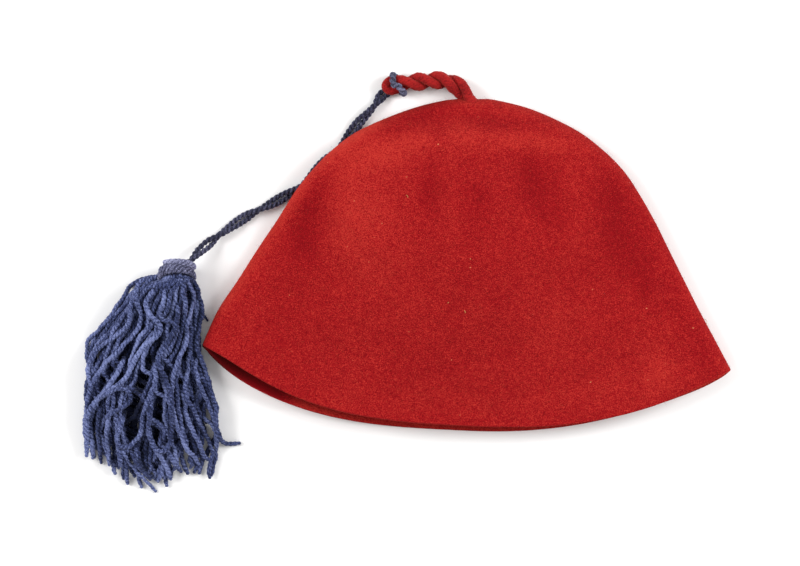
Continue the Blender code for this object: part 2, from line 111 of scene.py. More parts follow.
# Painted light and shade on the felt, for the troughs and ridges of its dents and the sheen of its nap:
# mm to the right of the crown's tip and below it, half the width and length in mm, the turn in degrees of
# the long side from upright towards the right at the top, and how much lighter
Tone = namedtuple("Tone", "right down wide long turn light")
PAINTED_TONES = (
    Tone(-68, 47, 13, 38, 0, 0.20), Tone(-54, 75, 18, 30, -20, 0.10), Tone(14, 21, 7, 38, 90, 0.22),
    Tone(-44, 26, 9, 27, 75, 0.20), Tone(-31, 10, 5, 18, 70, -0.22), Tone(-21, 19, 4, 6, 0, -0.16),
    Tone(-7, 4, 4, 5, 0, 0.08), Tone(11, 11, 5, 21, 95, -0.13), Tone(-25, 49, 5, 13, 0, -0.20),
    Tone(-1, 54, 8, 14, 0, -0.10), Tone(-14, 54, 3, 21, 0, 0.05), Tone(19, 48, 4, 23, -12, 0.06),
    Tone(28, 42, 10, 14, -15, -0.21), Tone(36, 58, 8, 10, 0, -0.11), Tone(51, 47, 6, 16, -20, 0.07),
    Tone(69, 47, 5, 15, -25, -0.17), Tone(75, 72, 10, 26, -25, -0.20), Tone(85, 96, 5, 7, 0, -0.12),
    Tone(-85, 54, 5, 18, 25, -0.16), Tone(-89, 75, 7, 14, 20, -0.19), Tone(-99, 100, 15, 21, 20, -0.05),
    Tone(-48, 117, 21, 10, 80, -0.04), Tone(-9, 95, 7, 8, 0, -0.05), Tone(93, 139, 7, 8, 0, 0.19),
    Tone(45, 116, 13, 23, 70, 0.07), Tone(63, 145, 7, 31, 75, 0.06), Tone(114, 129, 5, 13, -25, -0.14),
    Tone(-119, 117, 5, 15, 30, 0.09), Tone(-48, 36, 10, 22, 0, 0.10), Tone(-54, 67, 13, 22, 0, 0.06),
    Tone(-50, 98, 9, 16, 0, 0.03), Tone(-30, 24, 5, 18, 85, 0.10), Tone(32, 25, 4, 14, 100, 0.14),
    Tone(11, 14, 4, 12, 95, -0.09), Tone(-20, 16, 4, 5, 0, -0.10), Tone(-82, 49, 7, 17, 15, -0.12),
    Tone(-87, 72, 10, 15, 10, -0.09), Tone(-78, 108, 8, 14, 0, -0.03), Tone(68, 72, 9, 18, -20, -0.12),
    Tone(101, 108, 6, 13, -20, -0.13), Tone(57, 49, 7, 9, 0, -0.08), Tone(0, 49, 5, 13, -10, -0.09),
    Tone(27, 44, 6, 13, -10, -0.09), Tone(88, 135, 10, 14, 0, 0.09), Tone(100, 147, 5, 14, 70, 0.12),
    Tone(38, 118, 13, 24, 0, 0.06), Tone(22, 154, 8, 60, 90, 0.08), Tone(-65, 152, 7, 22, 100, 0.04),
    Tone(69, 31, 5, 9, -40, 0.06), Tone(-48, 10, 4, 10, 65, 0.12), Tone(22, 16, 4, 26, 95, -0.10),
    Tone(-40, 17, 4, 9, 80, -0.07), Tone(14, 7, 5, 22, 95, 0.14), Tone(69, 105, 9, 14, 0, -0.07),
    Tone(-9, 39, 6, 6, 0, -0.06), Tone(107, 147, 5, 6, 0, -0.08), Tone(-30, 152, 6, 12, 0, 0.06),
)

# Bits of lint on the felt: lines in mm to the right of the crown's tip and below it
LINT = (
    ((-36.9, 49.8), (-36.2, 50.2), (-36.0, 51.2)), ((-4.6, 82.0), (-4.1, 82.8), (-3.6, 82.6)),
    ((-16.2, 103.0), (-15.5, 103.9), (-15.9, 104.6)), ((-7.4, 108.2), (-6.9, 109.0), (-7.2, 109.6)),
    ((107.1, 113.3), (109.2, 114.8), (112.3, 114.2), (115.3, 112.8), (117.2, 113.6), (116.9, 115.8)),
    ((110.2, 117.9), (112.3, 117.4), (115.3, 118.2), (118.9, 119.4)),
)
FLANK_PAINTED_SHEEN = 0.40           # painted sheen: how much lighter along the fold on the left, where the nap bends over it
FLANK_REACH = 0.0050
EDGE_PAINTED_HIGHLIGHT = 0.40            # painted highlight: how much lighter the upper wall's cut edge is, on the right
INSIDE_PAINTED_SHADE = -0.90         # painted shade on the inner face behind the dark slot on the left
INSIDE_PAINTED_LIGHT = 0.30           # painted light on the rest of the inner face

# Where along x, and over what length, the inner face and the rims on the left get painted shade, and the
# cut edge on the right gets a painted highlight
Fade = namedtuple("Fade", "start run")
INSIDE_FADE = Fade(-0.083, 0.018)
HOLLOW_FADE = Fade(-0.098, 0.032)
LIP_FADE = Fade(-0.112, 0.016)
EDGE_FADE = Fade(0.100, 0.012)
# How far the painted shade on the slot's inner face and on the lower wall's lip goes towards near black
SLOT_PAINTED_SHADE = 0.70
LIP_PAINTED_SHADE = 0.90
EDGE_ROWS = 4               # of the shell's rim, on the upper wall
LIP_ROWS = (8, 5)           # before the lower wall's rim and of it

# The tassel's outline: shares of its length, of its width to either side and of its height
Skirt = namedtuple("Skirt", "down left right high")
SKIRT = (
    Skirt(0.000, 0.235, 0.137, 0.81), Skirt(0.046, 0.370, 0.141, 0.84), Skirt(0.104, 0.451, 0.165, 0.88),
    Skirt(0.181, 0.517, 0.172, 0.93), Skirt(0.262, 0.635, 0.166, 0.97), Skirt(0.335, 0.675, 0.170, 1.00),
    Skirt(0.445, 0.679, 0.228, 1.00), Skirt(0.566, 0.686, 0.264, 0.94), Skirt(0.700, 0.690, 0.299, 0.83),
    Skirt(0.815, 0.671, 0.307, 0.66), Skirt(1.000, 0.568, 0.255, 0.36),
)

# Where the skirt's strands end, from its left to its right side
End = namedtuple("End", "across down")
LOCK_ENDS = (
    End(0.00, 0.855), End(0.10, 0.867), End(0.20, 0.900), End(0.31, 0.973), End(0.44, 0.959),
    End(0.55, 1.000), End(0.66, 0.950), End(0.76, 0.940), End(0.86, 0.905), End(0.94, 0.940),
    End(1.00, 0.811),
)

# The free cord's route, from the hitch to the tassel's head
CORD_ROUTE = (
    (-0.0436, 0.0794, 0.0031), (-0.0464, 0.0755, 0.0031), (-0.0489, 0.0722, 0.0031),
    (-0.0520, 0.0691, 0.0031), (-0.0548, 0.0661, 0.0031), (-0.0577, 0.0625, 0.0031),
    (-0.0605, 0.0586, 0.0031), (-0.0638, 0.0543, 0.0031), (-0.0679, 0.0502, 0.0031),
    (-0.0733, 0.0450, 0.0031), (-0.0779, 0.0399, 0.0031), (-0.0820, 0.0356, 0.0031),
    (-0.0861, 0.0322, 0.0031), (-0.0905, 0.0295, 0.0031), (-0.0951, 0.0269, 0.0031),
    (-0.1002, 0.0240, 0.0031), (-0.1053, 0.0215, 0.0031), (-0.1107, 0.0187, 0.0031),
    (-0.1156, 0.0158, 0.0031), (-0.1205, 0.0125, 0.0031), (-0.1251, 0.0092, 0.0034),
    (-0.1297, 0.0056, 0.0044), (-0.1335, 0.0025, 0.0059), (-0.1371, -0.0008, 0.0075),
    (-0.1407, -0.0047, 0.0088),
)
CORD_HIDDEN = slice(7, 13)  # the places under the cap
CORD_START = ((-0.0398, 0.0822, 0.0018), (-0.0418, 0.0809, 0.0024))     # its strands inside the hitch
CORD_SINK = (-0.0030, -0.0022, 0.0006)                                  # how far they go on into the head

CAP_WIDTH = LEFT_REACH + RIGHT_REACH
MIDDLE_DROP = (LEFT_DROP + RIGHT_DROP) / 2
CAP_LENGTH = MIDDLE_DROP + LOWER_BOW
LOOP_TOP = LOOP_RISE + ROPE_RADIUS
CROWN = Vector(((LEFT_REACH - RIGHT_REACH) / 2, (CAP_LENGTH - LOOP_TOP) / 2))
HEAD_X = CORD_ROUTE[-1][0] - ENTRY_SIDE
HEAD_TOP = CORD_ROUTE[-1][1] + ENTRY_DEPTH
HEAD_Z = HEAD_RADIUS + GAP
BINDING_TOP = HEAD_TOP - HEAD_DOME
BINDING_LENGTH = WRAPS * WRAP
SKIRT_TOP = BINDING_TOP - BINDING_LENGTH - GAP

# Camera
SEEN_WIDTH = 0.4101         # what the picture spans at the height of the cap's folds
SEEN_MIDDLE = (-0.0341, -0.0167)
CAMERA_RISE = 1.6           # above that height
SENSOR_MM = 36.0

# Rope, yarn and their twist
ROPE_PLY = 0.0025           # radius of one ply of the crown loop
ROPE_OFFSET = ROPE_RADIUS - ROPE_PLY
ROPE_SINK = (0.0022, -0.0030, 0.0)      # how far its root goes into the crown
ROPE_RELIEF = 0.00009       # unevenness of its felted surface
YARN_PITCH = 0.0046         # one turn of a strand's two plies
STRAND_RADIUS = 0.00128     # of a tassel strand
CORD_STRAND_RADIUS = 0.00150
HITCH_RADIUS = 0.00180
HEAD_STRAND_RADIUS = 0.00136
CORD_PITCH = 0.0052
HITCH_PITCH = 0.0056
ROPE_PITCH = 0.011          # of the fibres in a ply of the rope
PLY_SHARE = 0.66            # radius of a cord strand's ply, as a share of the strand's
HITCH_PLY_SHARE = 0.62
HEAD_PLY_SHARE = 0.73
SKIRT_PLY_SHARE = 0.77
STREAK_STRETCH = 0.20       # how much the fibres' streaks are drawn out along a strand
END_REACH = 0.55            # of a strand's rounded end, as a share of its radius
END_SIZE = 0.45             # and of the ring there
FIBRE_RADIUS = 0.000032
CORD_FIBRE_RADIUS = 0.000030
LINT_RADIUS = 0.00016
LINT_RINGS = 24

# How the cord's two strands turn round each other: half turns at places along it, in mm from its start.
# Whole numbers are where they lie side by side.
Twist = namedtuple("Twist", "run_mm half_turns")
CORD_TWIST = (
    Twist(0.0, 0.0), Twist(5.8, 0.5), Twist(22.7, 1.0), Twist(49.0, 2.0), Twist(76.0, 3.0),
    Twist(87.0, 3.5), Twist(98.0, 4.0), Twist(112.0, 4.5), Twist(119.5, 5.0), Twist(135.0, 5.6),
)

# The same for the rope's two plies, from its folded end to the crown
ROPE_TWIST = (
    Twist(0.0, 0.0), Twist(2.0, 0.04), Twist(8.8, 0.5), Twist(14.0, 1.0), Twist(18.8, 1.5),
    Twist(23.6, 2.0), Twist(28.2, 2.5), Twist(34.0, 3.0), Twist(42.0, 3.40), Twist(52.0, 3.48),
)
CORD_OPENING = 0.00015      # half the slit between the cord's strands where they lie side by side
CORD_FLOOR = 0.0031         # height of the cord's middle line where it lies on the floor

# The tassel's head: turns of the strand over its dome, and how they and the binding lie
HEAD_TURNS = 3.3
HEAD_START = 0.30           # where they begin, as a share of the way from the dome's tip to its foot
HEAD_SAG = 0.0028           # the turns' bow towards the top, where they cross the upper side
NECK_SAG = 0.0044           # the same at the neck
HEAD_TILT = 0.13            # how they fall to the right on the dome
NECK_TILT = -0.06           # and at the neck
HEAD_LEAN = 0.02            # how far the whole head leans
WOUND_RINGS = 300
BINDING_RINGS = 190
BINDING_TAIL = 0.15         # how much further than its whole turns the binding goes
CORE_RISE = 0.0025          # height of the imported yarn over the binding's top
CORE_POWER = 2.4            # how square its dome is

# The strand over the rope's folded end
HITCH_ROUTE = (
    (-0.0348, 0.0884, 0.0020), (-0.0368, 0.0894, 0.0026), (-0.0377, 0.0899, 0.0055),
    (-0.0378, 0.0893, 0.0084), (-0.0378, 0.0876, 0.0096), (-0.0377, 0.0858, 0.0100),
    (-0.0371, 0.0846, 0.0098), (-0.0354, 0.0842, 0.0106), (-0.0338, 0.0826, 0.0108),
    (-0.0325, 0.0811, 0.0090), (-0.0321, 0.0806, 0.0052), (-0.0326, 0.0808, 0.0024),
    (-0.0345, 0.0820, 0.0020),
)

# Strands on top of the tassel, as they lie: mm to the right of the head's middle and mm below the top
# of the skirt. A strand starts in the head or rises from under the others, and its end is cut or dives.
Strand = namedtuple("Strand", "start end thick places")
TOP_STRANDS = (
    Strand("under", "cut", 1.0, ((-24.3, 75.4), (-22.2, 83.6), (-21.2, 90.7), (-19.9, 98.1),
        (-18.4, 104.8))),
    Strand("under", "cut", 1.0, ((-27.9, 80.5), (-27.4, 88.2), (-26.3, 94.8), (-25.4, 103.1))),
    Strand("under", "cut", 1.1, ((-14.0, 80.5), (-9.9, 86.6), (-6.6, 92.8), (-3.4, 100.7))),
    Strand("under", "cut", 1.1, ((-10.4, 80.5), (-5.3, 86.3), (-1.2, 92.3), (1.9, 96.9))),
    Strand("under", "cut", 0.9, ((-25.3, 83.1), (-20.7, 92.8), (-17.1, 97.4), (-13.7, 101.0))),
    Strand("under", "cut", 0.8, ((-30.4, 80.5), (-26.8, 88.5), (-21.0, 96.6), (-15.9, 101.7),
        (-10.8, 106.6))),
    Strand("under", "cut", 1.0, ((-38.1, 60.0), (-40.7, 69.2), (-40.2, 80.5), (-39.2, 92.3))),
    Strand("under", "cut", 1.0, ((-33.0, 62.6), (-36.1, 72.8), (-35.6, 83.1), (-35.0, 93.6))),
    Strand("under", "cut", 1.1, ((-29.4, 66.1), (-30.9, 75.4), (-29.9, 85.6), (-28.9, 93.8))),
    Strand("under", "under", 0.9, ((-19.7, 55.9), (-23.8, 53.8), (-28.4, 52.3))),
    Strand("under", "cut", 1.0, ((4.9, 24.1), (2.4, 34.4), (-0.2, 45.6), (-0.2, 57.4), (1.3, 69.2),
        (3.9, 80.5), (4.9, 86.6))),
    Strand("under", "cut", 1.0, ((1.3, 52.3), (3.4, 61.0), (5.4, 69.5), (9.8, 79.8), (13.4, 87.7),
        (17.5, 91.3))),
    Strand("under", "cut", 0.9, ((11.1, 35.4), (9.5, 42.6), (10.8, 51.0), (14.2, 57.9), (17.7, 66.7),
        (19.8, 75.4), (20.3, 85.6))),
    Strand("head", "under", 1.0, ((2.4, 0.5), (2.9, 4.6), (3.9, 10.0), (3.9, 16.4), (1.9, 24.1),
        (0.3, 31.8), (-3.3, 38.5), (-5.8, 45.6))),
    Strand("under", "cut", 1.0, ((8.0, 31.8), (5.4, 38.5), (5.2, 45.9), (3.9, 53.6), (5.2, 60.0),
        (9.0, 66.7), (12.1, 73.3), (15.7, 80.5), (18.0, 87.2), (16.5, 94.3), (16.4, 100.0))),
    Strand("head", "cut", 1.0, ((6.5, 1.6), (7.8, 6.7), (7.0, 14.4), (5.2, 21.5), (3.9, 31.8), (0.7, 39.5),
        (-1.8, 46.7), (-3.3, 55.4), (-2.2, 65.1), (0.3, 75.4), (4.4, 83.6), (8.5, 89.2), (11.1, 92.8))),
    Strand("head", "cut", 1.0, ((8.5, -0.5), (11.6, 6.7), (12.4, 14.4), (11.1, 24.1), (10.1, 31.8),
        (11.9, 39.5), (14.9, 45.9), (17.0, 53.6), (19.3, 62.6), (20.3, 71.3), (21.5, 78.3), (24.4, 82.3),
        (32.6, 82.0))),
    Strand("head", "cut", 1.0, ((-9.9, -3.6), (-20.4, -1.0), (-26.8, 5.6), (-33.3, 15.8), (-39.7, 23.5),
        (-45.4, 29.2), (-46.3, 38.0), (-43.8, 43.6), (-44.3, 49.7))),
    Strand("under", "cut", 1.0, ((-34.5, 24.1), (-40.2, 30.8), (-44.3, 38.0), (-45.8, 45.6), (-44.3, 52.3),
        (-45.8, 60.0), (-47.4, 72.3), (-47.1, 80.5))),
    Strand("head", "under", 1.0, ((-14.0, -1.5), (-18.6, 3.6), (-23.8, 10.3), (-24.3, 16.4), (-25.6, 21.5),
        (-31.5, 27.2), (-38.4, 31.8), (-43.3, 38.0), (-44.8, 45.6))),
    Strand("under", "cut", 1.1, ((-25.3, 35.4), (-29.4, 42.6), (-33.0, 49.7), (-38.1, 56.4), (-42.2, 62.0),
        (-44.3, 70.2), (-43.8, 80.5), (-43.8, 90.0))),
    Strand("under", "under", 1.1, ((-9.9, 29.2), (-13.0, 35.4), (-11.5, 42.6), (-14.0, 50.3), (-17.9, 60.0),
        (-21.2, 68.2), (-22.7, 72.3))),
    Strand("head", "cut", 1.1, ((-16.1, -2.0), (-20.7, 2.1), (-21.1, 9.2), (-19.2, 14.4), (-19.2, 21.5),
        (-23.8, 28.0), (-29.4, 33.8), (-35.6, 40.0), (-40.7, 46.7), (-45.3, 54.9), (-46.3, 65.1))),
    Strand("head", "under", 1.1, ((-5.8, -1.5), (-6.0, 0.5), (-6.7, 6.8), (-7.6, 13.2), (-8.9, 18.0))),
    Strand("under", "under", 1.0, ((-4.8, 8.7), (-8.9, 13.3), (-7.4, 19.0), (-2.8, 20.0), (-0.2, 24.6),
        (-2.8, 31.8), (-6.9, 38.5))),
    Strand("head", "cut", 1.15, ((-8.9, -1.0), (-12.8, 4.1), (-16.1, 10.3), (-14.0, 16.4), (-8.9, 21.5),
        (-10.2, 26.7), (-16.6, 31.8), (-20.4, 36.9), (-23.8, 43.6), (-28.1, 50.3), (-35.6, 55.9),
        (-41.7, 60.5), (-45.8, 67.2), (-46.3, 77.9), (-46.6, 88.7))),
    Strand("under", "under", 1.1, ((-7.4, 31.8), (-11.0, 43.6), (-11.0, 49.2), (-14.0, 57.4), (-16.6, 65.1),
        (-17.9, 72.3), (-20.2, 79.0), (-24.8, 83.6), (-29.2, 83.6), (-30.9, 79.0), (-29.4, 72.8),
        (-26.3, 66.1))),
    Strand("under", "under", 1.15, ((-0.7, 7.7), (0.3, 16.4), (-1.7, 24.1), (-5.1, 30.5), (-8.9, 36.4),
        (-9.5, 41.5), (-6.3, 49.2), (-3.3, 57.4), (-2.8, 66.7), (-3.3, 79.0), (-5.3, 84.6), (-8.4, 86.4),
        (-12.5, 83.6), (-14.3, 77.4), (-14.5, 69.2), (-13.5, 60.0))),
    Strand("head", "under", 1.0, ((5.4, -1.0), (2.0, -0.5), (-2.5, 4.3), (-4.4, 8.1), (-5.3, 13.9),
        (-8.9, 20.0))),
    Strand("under", "cut", 0.6, ((12.0, 14.0), (13.8, 16.6), (15.4, 19.4))),
    Strand("under", "under", 1.0, ((-41.2, 60.5), (-35.2, 56.1), (-29.9, 54.3), (-25.8, 55.1),
        (-24.0, 58.7), (-25.8, 62.3), (-30.4, 64.9), (-36.1, 68.7), (-38.6, 73.3))),
)

# Valleys between the strands, where strands are pushed apart and the deep ones get painted shade: mm to the
# right of the head's middle and below the skirt's top, and half the width in mm
Valley = namedtuple("Valley", "right down wide")
VALLEYS = (
    (Valley(-8.9, 25.0, 0.6), Valley(-8.9, 27.7, 1.6), Valley(-12.0, 35.4, 1.8), Valley(-14.6, 45.6, 2.8),
     Valley(-18.6, 54.8, 4.6), Valley(-23.3, 66.1, 4.6), Valley(-22.8, 76.4, 3.6), Valley(-23.8, 82.5, 1.0)),
    (Valley(-8.4, 53.0, 0.6), Valley(-8.4, 56.9, 1.4), Valley(-9.9, 67.7, 2.4), Valley(-10.5, 79.5, 1.8),
     Valley(-10.5, 83.5, 0.6)),
    (Valley(-25.3, 30.8, 0.6), Valley(-26.0, 34.0, 1.4), Valley(-29.9, 40.5, 1.8), Valley(-36.6, 47.7, 1.8),
     Valley(-39.2, 53.8, 0.8)),
    (Valley(-17.6, 12.9, 0.6), Valley(-17.4, 17.0, 1.2), Valley(-17.1, 21.5, 1.6), Valley(-20.2, 28.2, 0.8)),
    (Valley(4.9, 2.0, 0.5), Valley(6.5, 8.7, 1.5), Valley(4.4, 15.9, 0.8)),
    (Valley(-5.3, 6.7, 0.6), Valley(-5.8, 11.8, 1.3), Valley(-4.8, 17.9, 0.6)),
    (Valley(1.3, 46.7, 0.8), Valley(2.4, 56.9, 1.5), Valley(0.3, 68.7, 1.0)),
    (Valley(-3.8, 34.9, 0.6), Valley(-4.8, 45.6, 1.3), Valley(-5.0, 50.6, 0.6)),
    (Valley(11.0, 58.0, 0.6), Valley(12.0, 62.0, 1.2), Valley(14.0, 68.0, 0.6)),
)
VALLEY_BED = 0.16           # share of the skirt's height that stays filled under them

# The same where the floor shows through
OPENINGS = (
    (Valley(9.8, 56.0, 0.3), Valley(11.1, 61.0, 1.4), Valley(12.1, 65.0, 0.3)),
    (Valley(14.6, 62.0, 0.3), Valley(15.6, 67.7, 1.4), Valley(16.6, 73.0, 0.3)),
    (Valley(16.6, 73.5, 0.3), Valley(17.7, 76.4, 1.2), Valley(18.5, 80.0, 0.3)),
    (Valley(-41.6, 30.5, 0.3), Valley(-41.2, 34.3, 1.3), Valley(-41.9, 38.5, 0.3)),
)
TOP_LAYER = 0.0036          # height that the base strands leave for them
PRESSED = 0.55              # of what a stack of them rises above the skirt

# Small unevenness of the felt and of the rope: size, wavelength and seed
Ripple = namedtuple("Ripple", "size wavelength seed")
FELT_RIPPLES = (Ripple(0.0005, 0.034, 3), Ripple(0.00022, 0.012, 4))
ROPE_RIPPLES = (Ripple(0.05, 0.011, 12), Ripple(0.025, 0.003, 13))

# The lower wall's rim, which curls up on the left behind a dark slot
RIM_CURL = 0.0075
RIM_CURL_FROM = 0.950       # share of the wall's length
SQUARE_LOWER = 1.3          # how much squarer its left corner is than the rim's middle
SQUARE_UPPER = -1.26        # and that of the upper wall's rim
SQUARE_RIGHT = 1.0          # the lower rim's right corner

RIM_SETBACK = 0.0007        # what the rounded rims take up of the walls' length

# The strands that fill the skirt
BASE_STRANDS = 104
SLICES = 60                 # across the skirt, where its strands are pushed apart
SETTLE_STEPS = 90
SETTLE_PUSH = 0.42          # share of an overlap that a step takes away
SETTLE_SINK = 0.00018       # how far a strand sinks in the first step
SPIRAL_TURN = 2.39996       # radians from strand to strand, which fill a disc evenly
DRIFT = 0.20                # how far strands wander inside the skirt
LONG_SHARE = 0.24           # of the strands, which reach nearly to the outline's end
LONG_CUT = 0.07             # how far, as a share of the skirt's length, their ends differ at most
SHORT_CUT = 0.21            # the same for the others
SHORTER = 0.05              # and how much shorter those are at least
UNEQUAL = (0.88, 1.14)      # the strands' thinnest and thickest, as shares of STRAND_RADIUS
FLOOR_GAP = 0.0002          # below the strands
BEDDED = 0.35               # share of its radius that a strand on top sinks between those under it
TOP_STEP = 0.0008           # from point to point of a strand on top
GROUND_POINTS = 110
CRIMP_WAVES = (0.007, 0.013, 0.024)
CRIMP_RUN = 0.012           # over which the crimp grows from a strand's start
BASE_CRIMP = 0.00038
TOP_CRIMP = 0.00024
DIVE = 0.0042               # how far an end that goes under the others drops
DIVE_RUN = 0.007            # and over what length

# Lights: place and power of the soft light on either side, and the white room
Lamp = namedtuple("Lamp", "name place watts")
LAMPS = (Lamp("right", (1.05, 0.30, 0.85), 18.0), Lamp("left", (-1.10, 0.25, 0.85), 16.2))
LAMP_SIZE = 0.7
LAMP_AIM = (-0.03, -0.02, 0.0)
ROOM_COLOUR = (1.0, 0.995, 0.985, 1.0)
ROOM_STRENGTH = 0.56
FLOOR_REACH = 6.0

# Density
CAP_ROWS = 116
CAP_COLUMNS = 146
ROW_SPREAD = 1.7
CURVE_SPAN = 12
DENSE = 2400
STRAND_RINGS = 208
STRAND_SIDES = 8
FELT_FIBRES = 15000
YARN_FIBRES = 12000
CORD_FIBRES = 700
ROPE_FIBRES = 1500


def smooth_curve(points, span=CURVE_SPAN):
    """Points on a Catmull-Rom curve through the given points."""
    points = np.array(points, dtype=float)
    ends = np.vstack([2 * points[0] - points[1], points, 2 * points[-1] - points[-2]])
    s = np.linspace(0.0, 1.0, span, endpoint=False)[:, None]
    spans = []
    for a, b, c, d in zip(ends, ends[1:], ends[2:], ends[3:]):
        bend = (2 * a - 5 * b + 4 * c - d) * s ** 2 + (3 * b - a - 3 * c + d) * s ** 3
        spans.append(b + 0.5 * ((c - a) * s + bend))
    return np.vstack(spans + [points[-1:]])


def runs_of(lines):
    """How far along its line each point is, for one line or for several of equal count."""
    steps = np.linalg.norm(np.diff(lines, axis=-2), axis=-1)
    return np.concatenate([np.zeros_like(steps[..., :1]), np.cumsum(steps, axis=-1)], axis=-1)


def along(curve, shares):
    """Points at the given shares of a curve's length."""
    run = runs_of(curve)
    places = np.asarray(shares) * run[-1]
    return np.column_stack([np.interp(places, run, axis) for axis in curve.T])


def evenly(curve, count):
    """The curve again, as that many points with even steps."""
    return along(curve, np.linspace(0, 1, count))


def smooth_step(x):
    """0 to 1 with level ends."""
    x = np.clip(x, 0.0, 1.0)
    return x * x * (3 - 2 * x)


def column(rows, name):
    """One named column of a table."""
    return np.array([getattr(row, name) for row in rows])


def read_table(rows, places, by, name):
    """A table's column at places between its rows."""
    return np.interp(places, column(rows, by), column(rows, name))


def turned(turn, first, second):
    """The direction that many radians from the first towards the second."""
    return np.cos(turn)[..., None] * first + np.sin(turn)[..., None] * second


def plan_tree(points):
    """A search tree of points in plan."""
    tree = KDTree(len(points))
    for index, point in enumerate(points):
        tree.insert((point[0], point[1], 0.0), index)
    tree.balance()
    return tree


def waves(points, wavelength, seed, count=9):
    """A smooth random field, mostly between -1 and 1, with about that wavelength."""
    rng = np.random.default_rng(seed)
    field = np.zeros(points.shape[:-1])
    for _ in range(count):
        way = rng.normal(size=points.shape[-1])
        way *= 2 * math.pi / (wavelength * rng.uniform(0.7, 1.5)) / np.linalg.norm(way)
        field += np.sin(points @ way + rng.uniform(0, 2 * math.pi))
    return field / math.sqrt(count)


def ripple(points, ripples):
    """A table's random fields together."""
    return sum(part.size * waves(points, part.wavelength, part.seed) for part in ripples)


def as_seen(points):
    """Moves points sideways so that, at their height, the camera sees them where their plan place is."""
    seen = np.array(points, dtype=float)
    scale = (CAMERA_RISE + SIDE_FOLD - seen[..., 2:]) / CAMERA_RISE
    middle = np.array(SEEN_MIDDLE)
    seen[..., :2] = middle + (seen[..., :2] - middle) * scale
    return seen


def add_node(tree, kind, inputs=None, **settings):
    """A shader node with its settings, and its inputs set or linked."""
    node = tree.nodes.new(kind)
    for name, value in settings.items():
        setattr(node, name, value)
    for name, value in (inputs or {}).items():
        if isinstance(value, bpy.types.NodeSocket):
            tree.links.new(value, node.inputs[name])
        else:
            node.inputs[name].default_value = value
    return node


def add_ramp(tree, factor, stops):
    """A colour ramp through (place, colour) stops."""
    ramp = add_node(tree, "ShaderNodeValToRGB", {"Fac": factor})
    elements = ramp.color_ramp.elements
    while len(elements) < len(stops):
        elements.new(0.5)
    for element, (place, colour) in zip(elements, stops):
        element.position = place
        element.color = (*colour, 1.0)
    return ramp.outputs["Color"]


def noise(tree, place, scale, detail, roughness=0.5, distortion=0.0):
    """Cloudy grey values at a place."""
    inputs = {"Vector": place, "Scale": scale, "Detail": detail, "Roughness": roughness,
              "Distortion": distortion}
    return add_node(tree, "ShaderNodeTexNoise", inputs).outputs["Fac"]


def stored(tree, name, output="Fac"):
    """What the mesh keeps under a name at each of its points."""
    return add_node(tree, "ShaderNodeAttribute", attribute_name=name).outputs[output]


def object_place(tree):
    """The place on the object in metres."""
    return add_node(tree, "ShaderNodeTexCoord").outputs["Object"]


def mix_colours(tree, factor, first, second):
    """From the first colour to the second."""
    mix = add_node(tree, "ShaderNodeMix", {"Factor": factor, 6: first, 7: (*second, 1.0)}, data_type="RGBA")
    return mix.outputs[2]


def new_material(name, roughness, sheen, tint, specular=0.15):
    """A material with its shader's constant values set, and its node tree."""
    material = bpy.data.materials.new(name)
    material.use_nodes = True
    tree = material.node_tree
    shader = tree.nodes["Principled BSDF"]
    for socket, value in (
        ("Roughness", roughness),
        ("Specular IOR Level", specular),
        ("Sheen Weight", sheen),
        ("Sheen Roughness", 0.5),
        ("Sheen Tint", (*tint, 1.0)),
    ):
        shader.inputs[socket].default_value = value
    return material, tree, shader


def finish_material(tree, shader, colour, relief=None, distance=0.0):
    """Gives the shader its colour and, where there is one, its small relief."""
    tree.links.new(colour, shader.inputs["Base Color"])
    if relief is not None:
        bump = add_node(tree, "ShaderNodeBump", {"Height": relief, "Strength": 0.8, "Distance": distance})
        tree.links.new(bump.outputs["Normal"], shader.inputs["Normal"])


def weigh(tree, parts, start=0.5):
    """start plus each (value, weight, middle) part's distance from its middle, weighed."""
    total = start - sum(weight * middle for _, weight, middle in parts)
    for value, weight, _ in parts:
        total = add_node(tree, "ShaderNodeMath", {0: value, 1: weight, 2: total},
                         operation="MULTIPLY_ADD").outputs[0]
    return total


def felt_material(name, shade, middle, nap, lint):
    """Pressed wool felt: short fibres lying every way, with soft mottling over them, and painted light and
    shade from the shell's stored values.
    """
    material, tree, shader = new_material(name, 0.97, 0.06, (1.0, 0.30, 0.16), specular=0.06)
    place = object_place(tree)
    fibres = 0.0
    for turn in (8, 68, 128):
        lie = add_node(tree, "ShaderNodeMapping", {
            "Vector": place,
            "Rotation": (0.3, 0.2, math.radians(turn)),
            "Scale": (1000.0, 3800.0, 3800.0),
        })
        layer = noise(tree, lie.outputs["Vector"], 1.0, 2.0, roughness=0.6, distortion=0.6)
        fibres = add_node(tree, "ShaderNodeMath", {0: fibres, 1: layer}, operation="MAXIMUM").outputs[0]
    grain = noise(tree, place, 1850.0, 1.0)
    mottle = noise(tree, place, 420.0, 2.0)
    patch = noise(tree, place, 60.0, 3.0, roughness=0.55)
    # painted light and shade of the felt, from the shell's stored tones
    mixed = weigh(tree, ((fibres, 1.75, 0.585), (grain, 2.0, 0.5), (mottle, 0.50, 0.5), (patch, 0.28, 0.5),
                         (stored(tree, "painted_tone"), 1.0, 0.0)))
    colour = add_ramp(tree, mixed, ((0.05, shade), (0.50, middle), (1.00, nap)))
    bright = add_node(tree, "ShaderNodeMapRange", {
        "Value": noise(tree, place, 420.0, 1.0), "From Min": 0.80, "From Max": 0.84, "To Min": 0.0,
        "To Max": 0.8})
    colour = mix_colours(tree, bright.outputs[0], colour, lint)
    # painted shade: the slot and the lip on the left go towards near black
    colour = mix_colours(tree, stored(tree, "painted_slot_shade"), colour, (0.020, 0.0005, 0.0010))
    relief = weigh(tree, ((fibres, 0.6, 0.5), (grain, 0.6, 0.5)))
    finish_material(tree, shader, colour, relief, 0.0005)
    return material


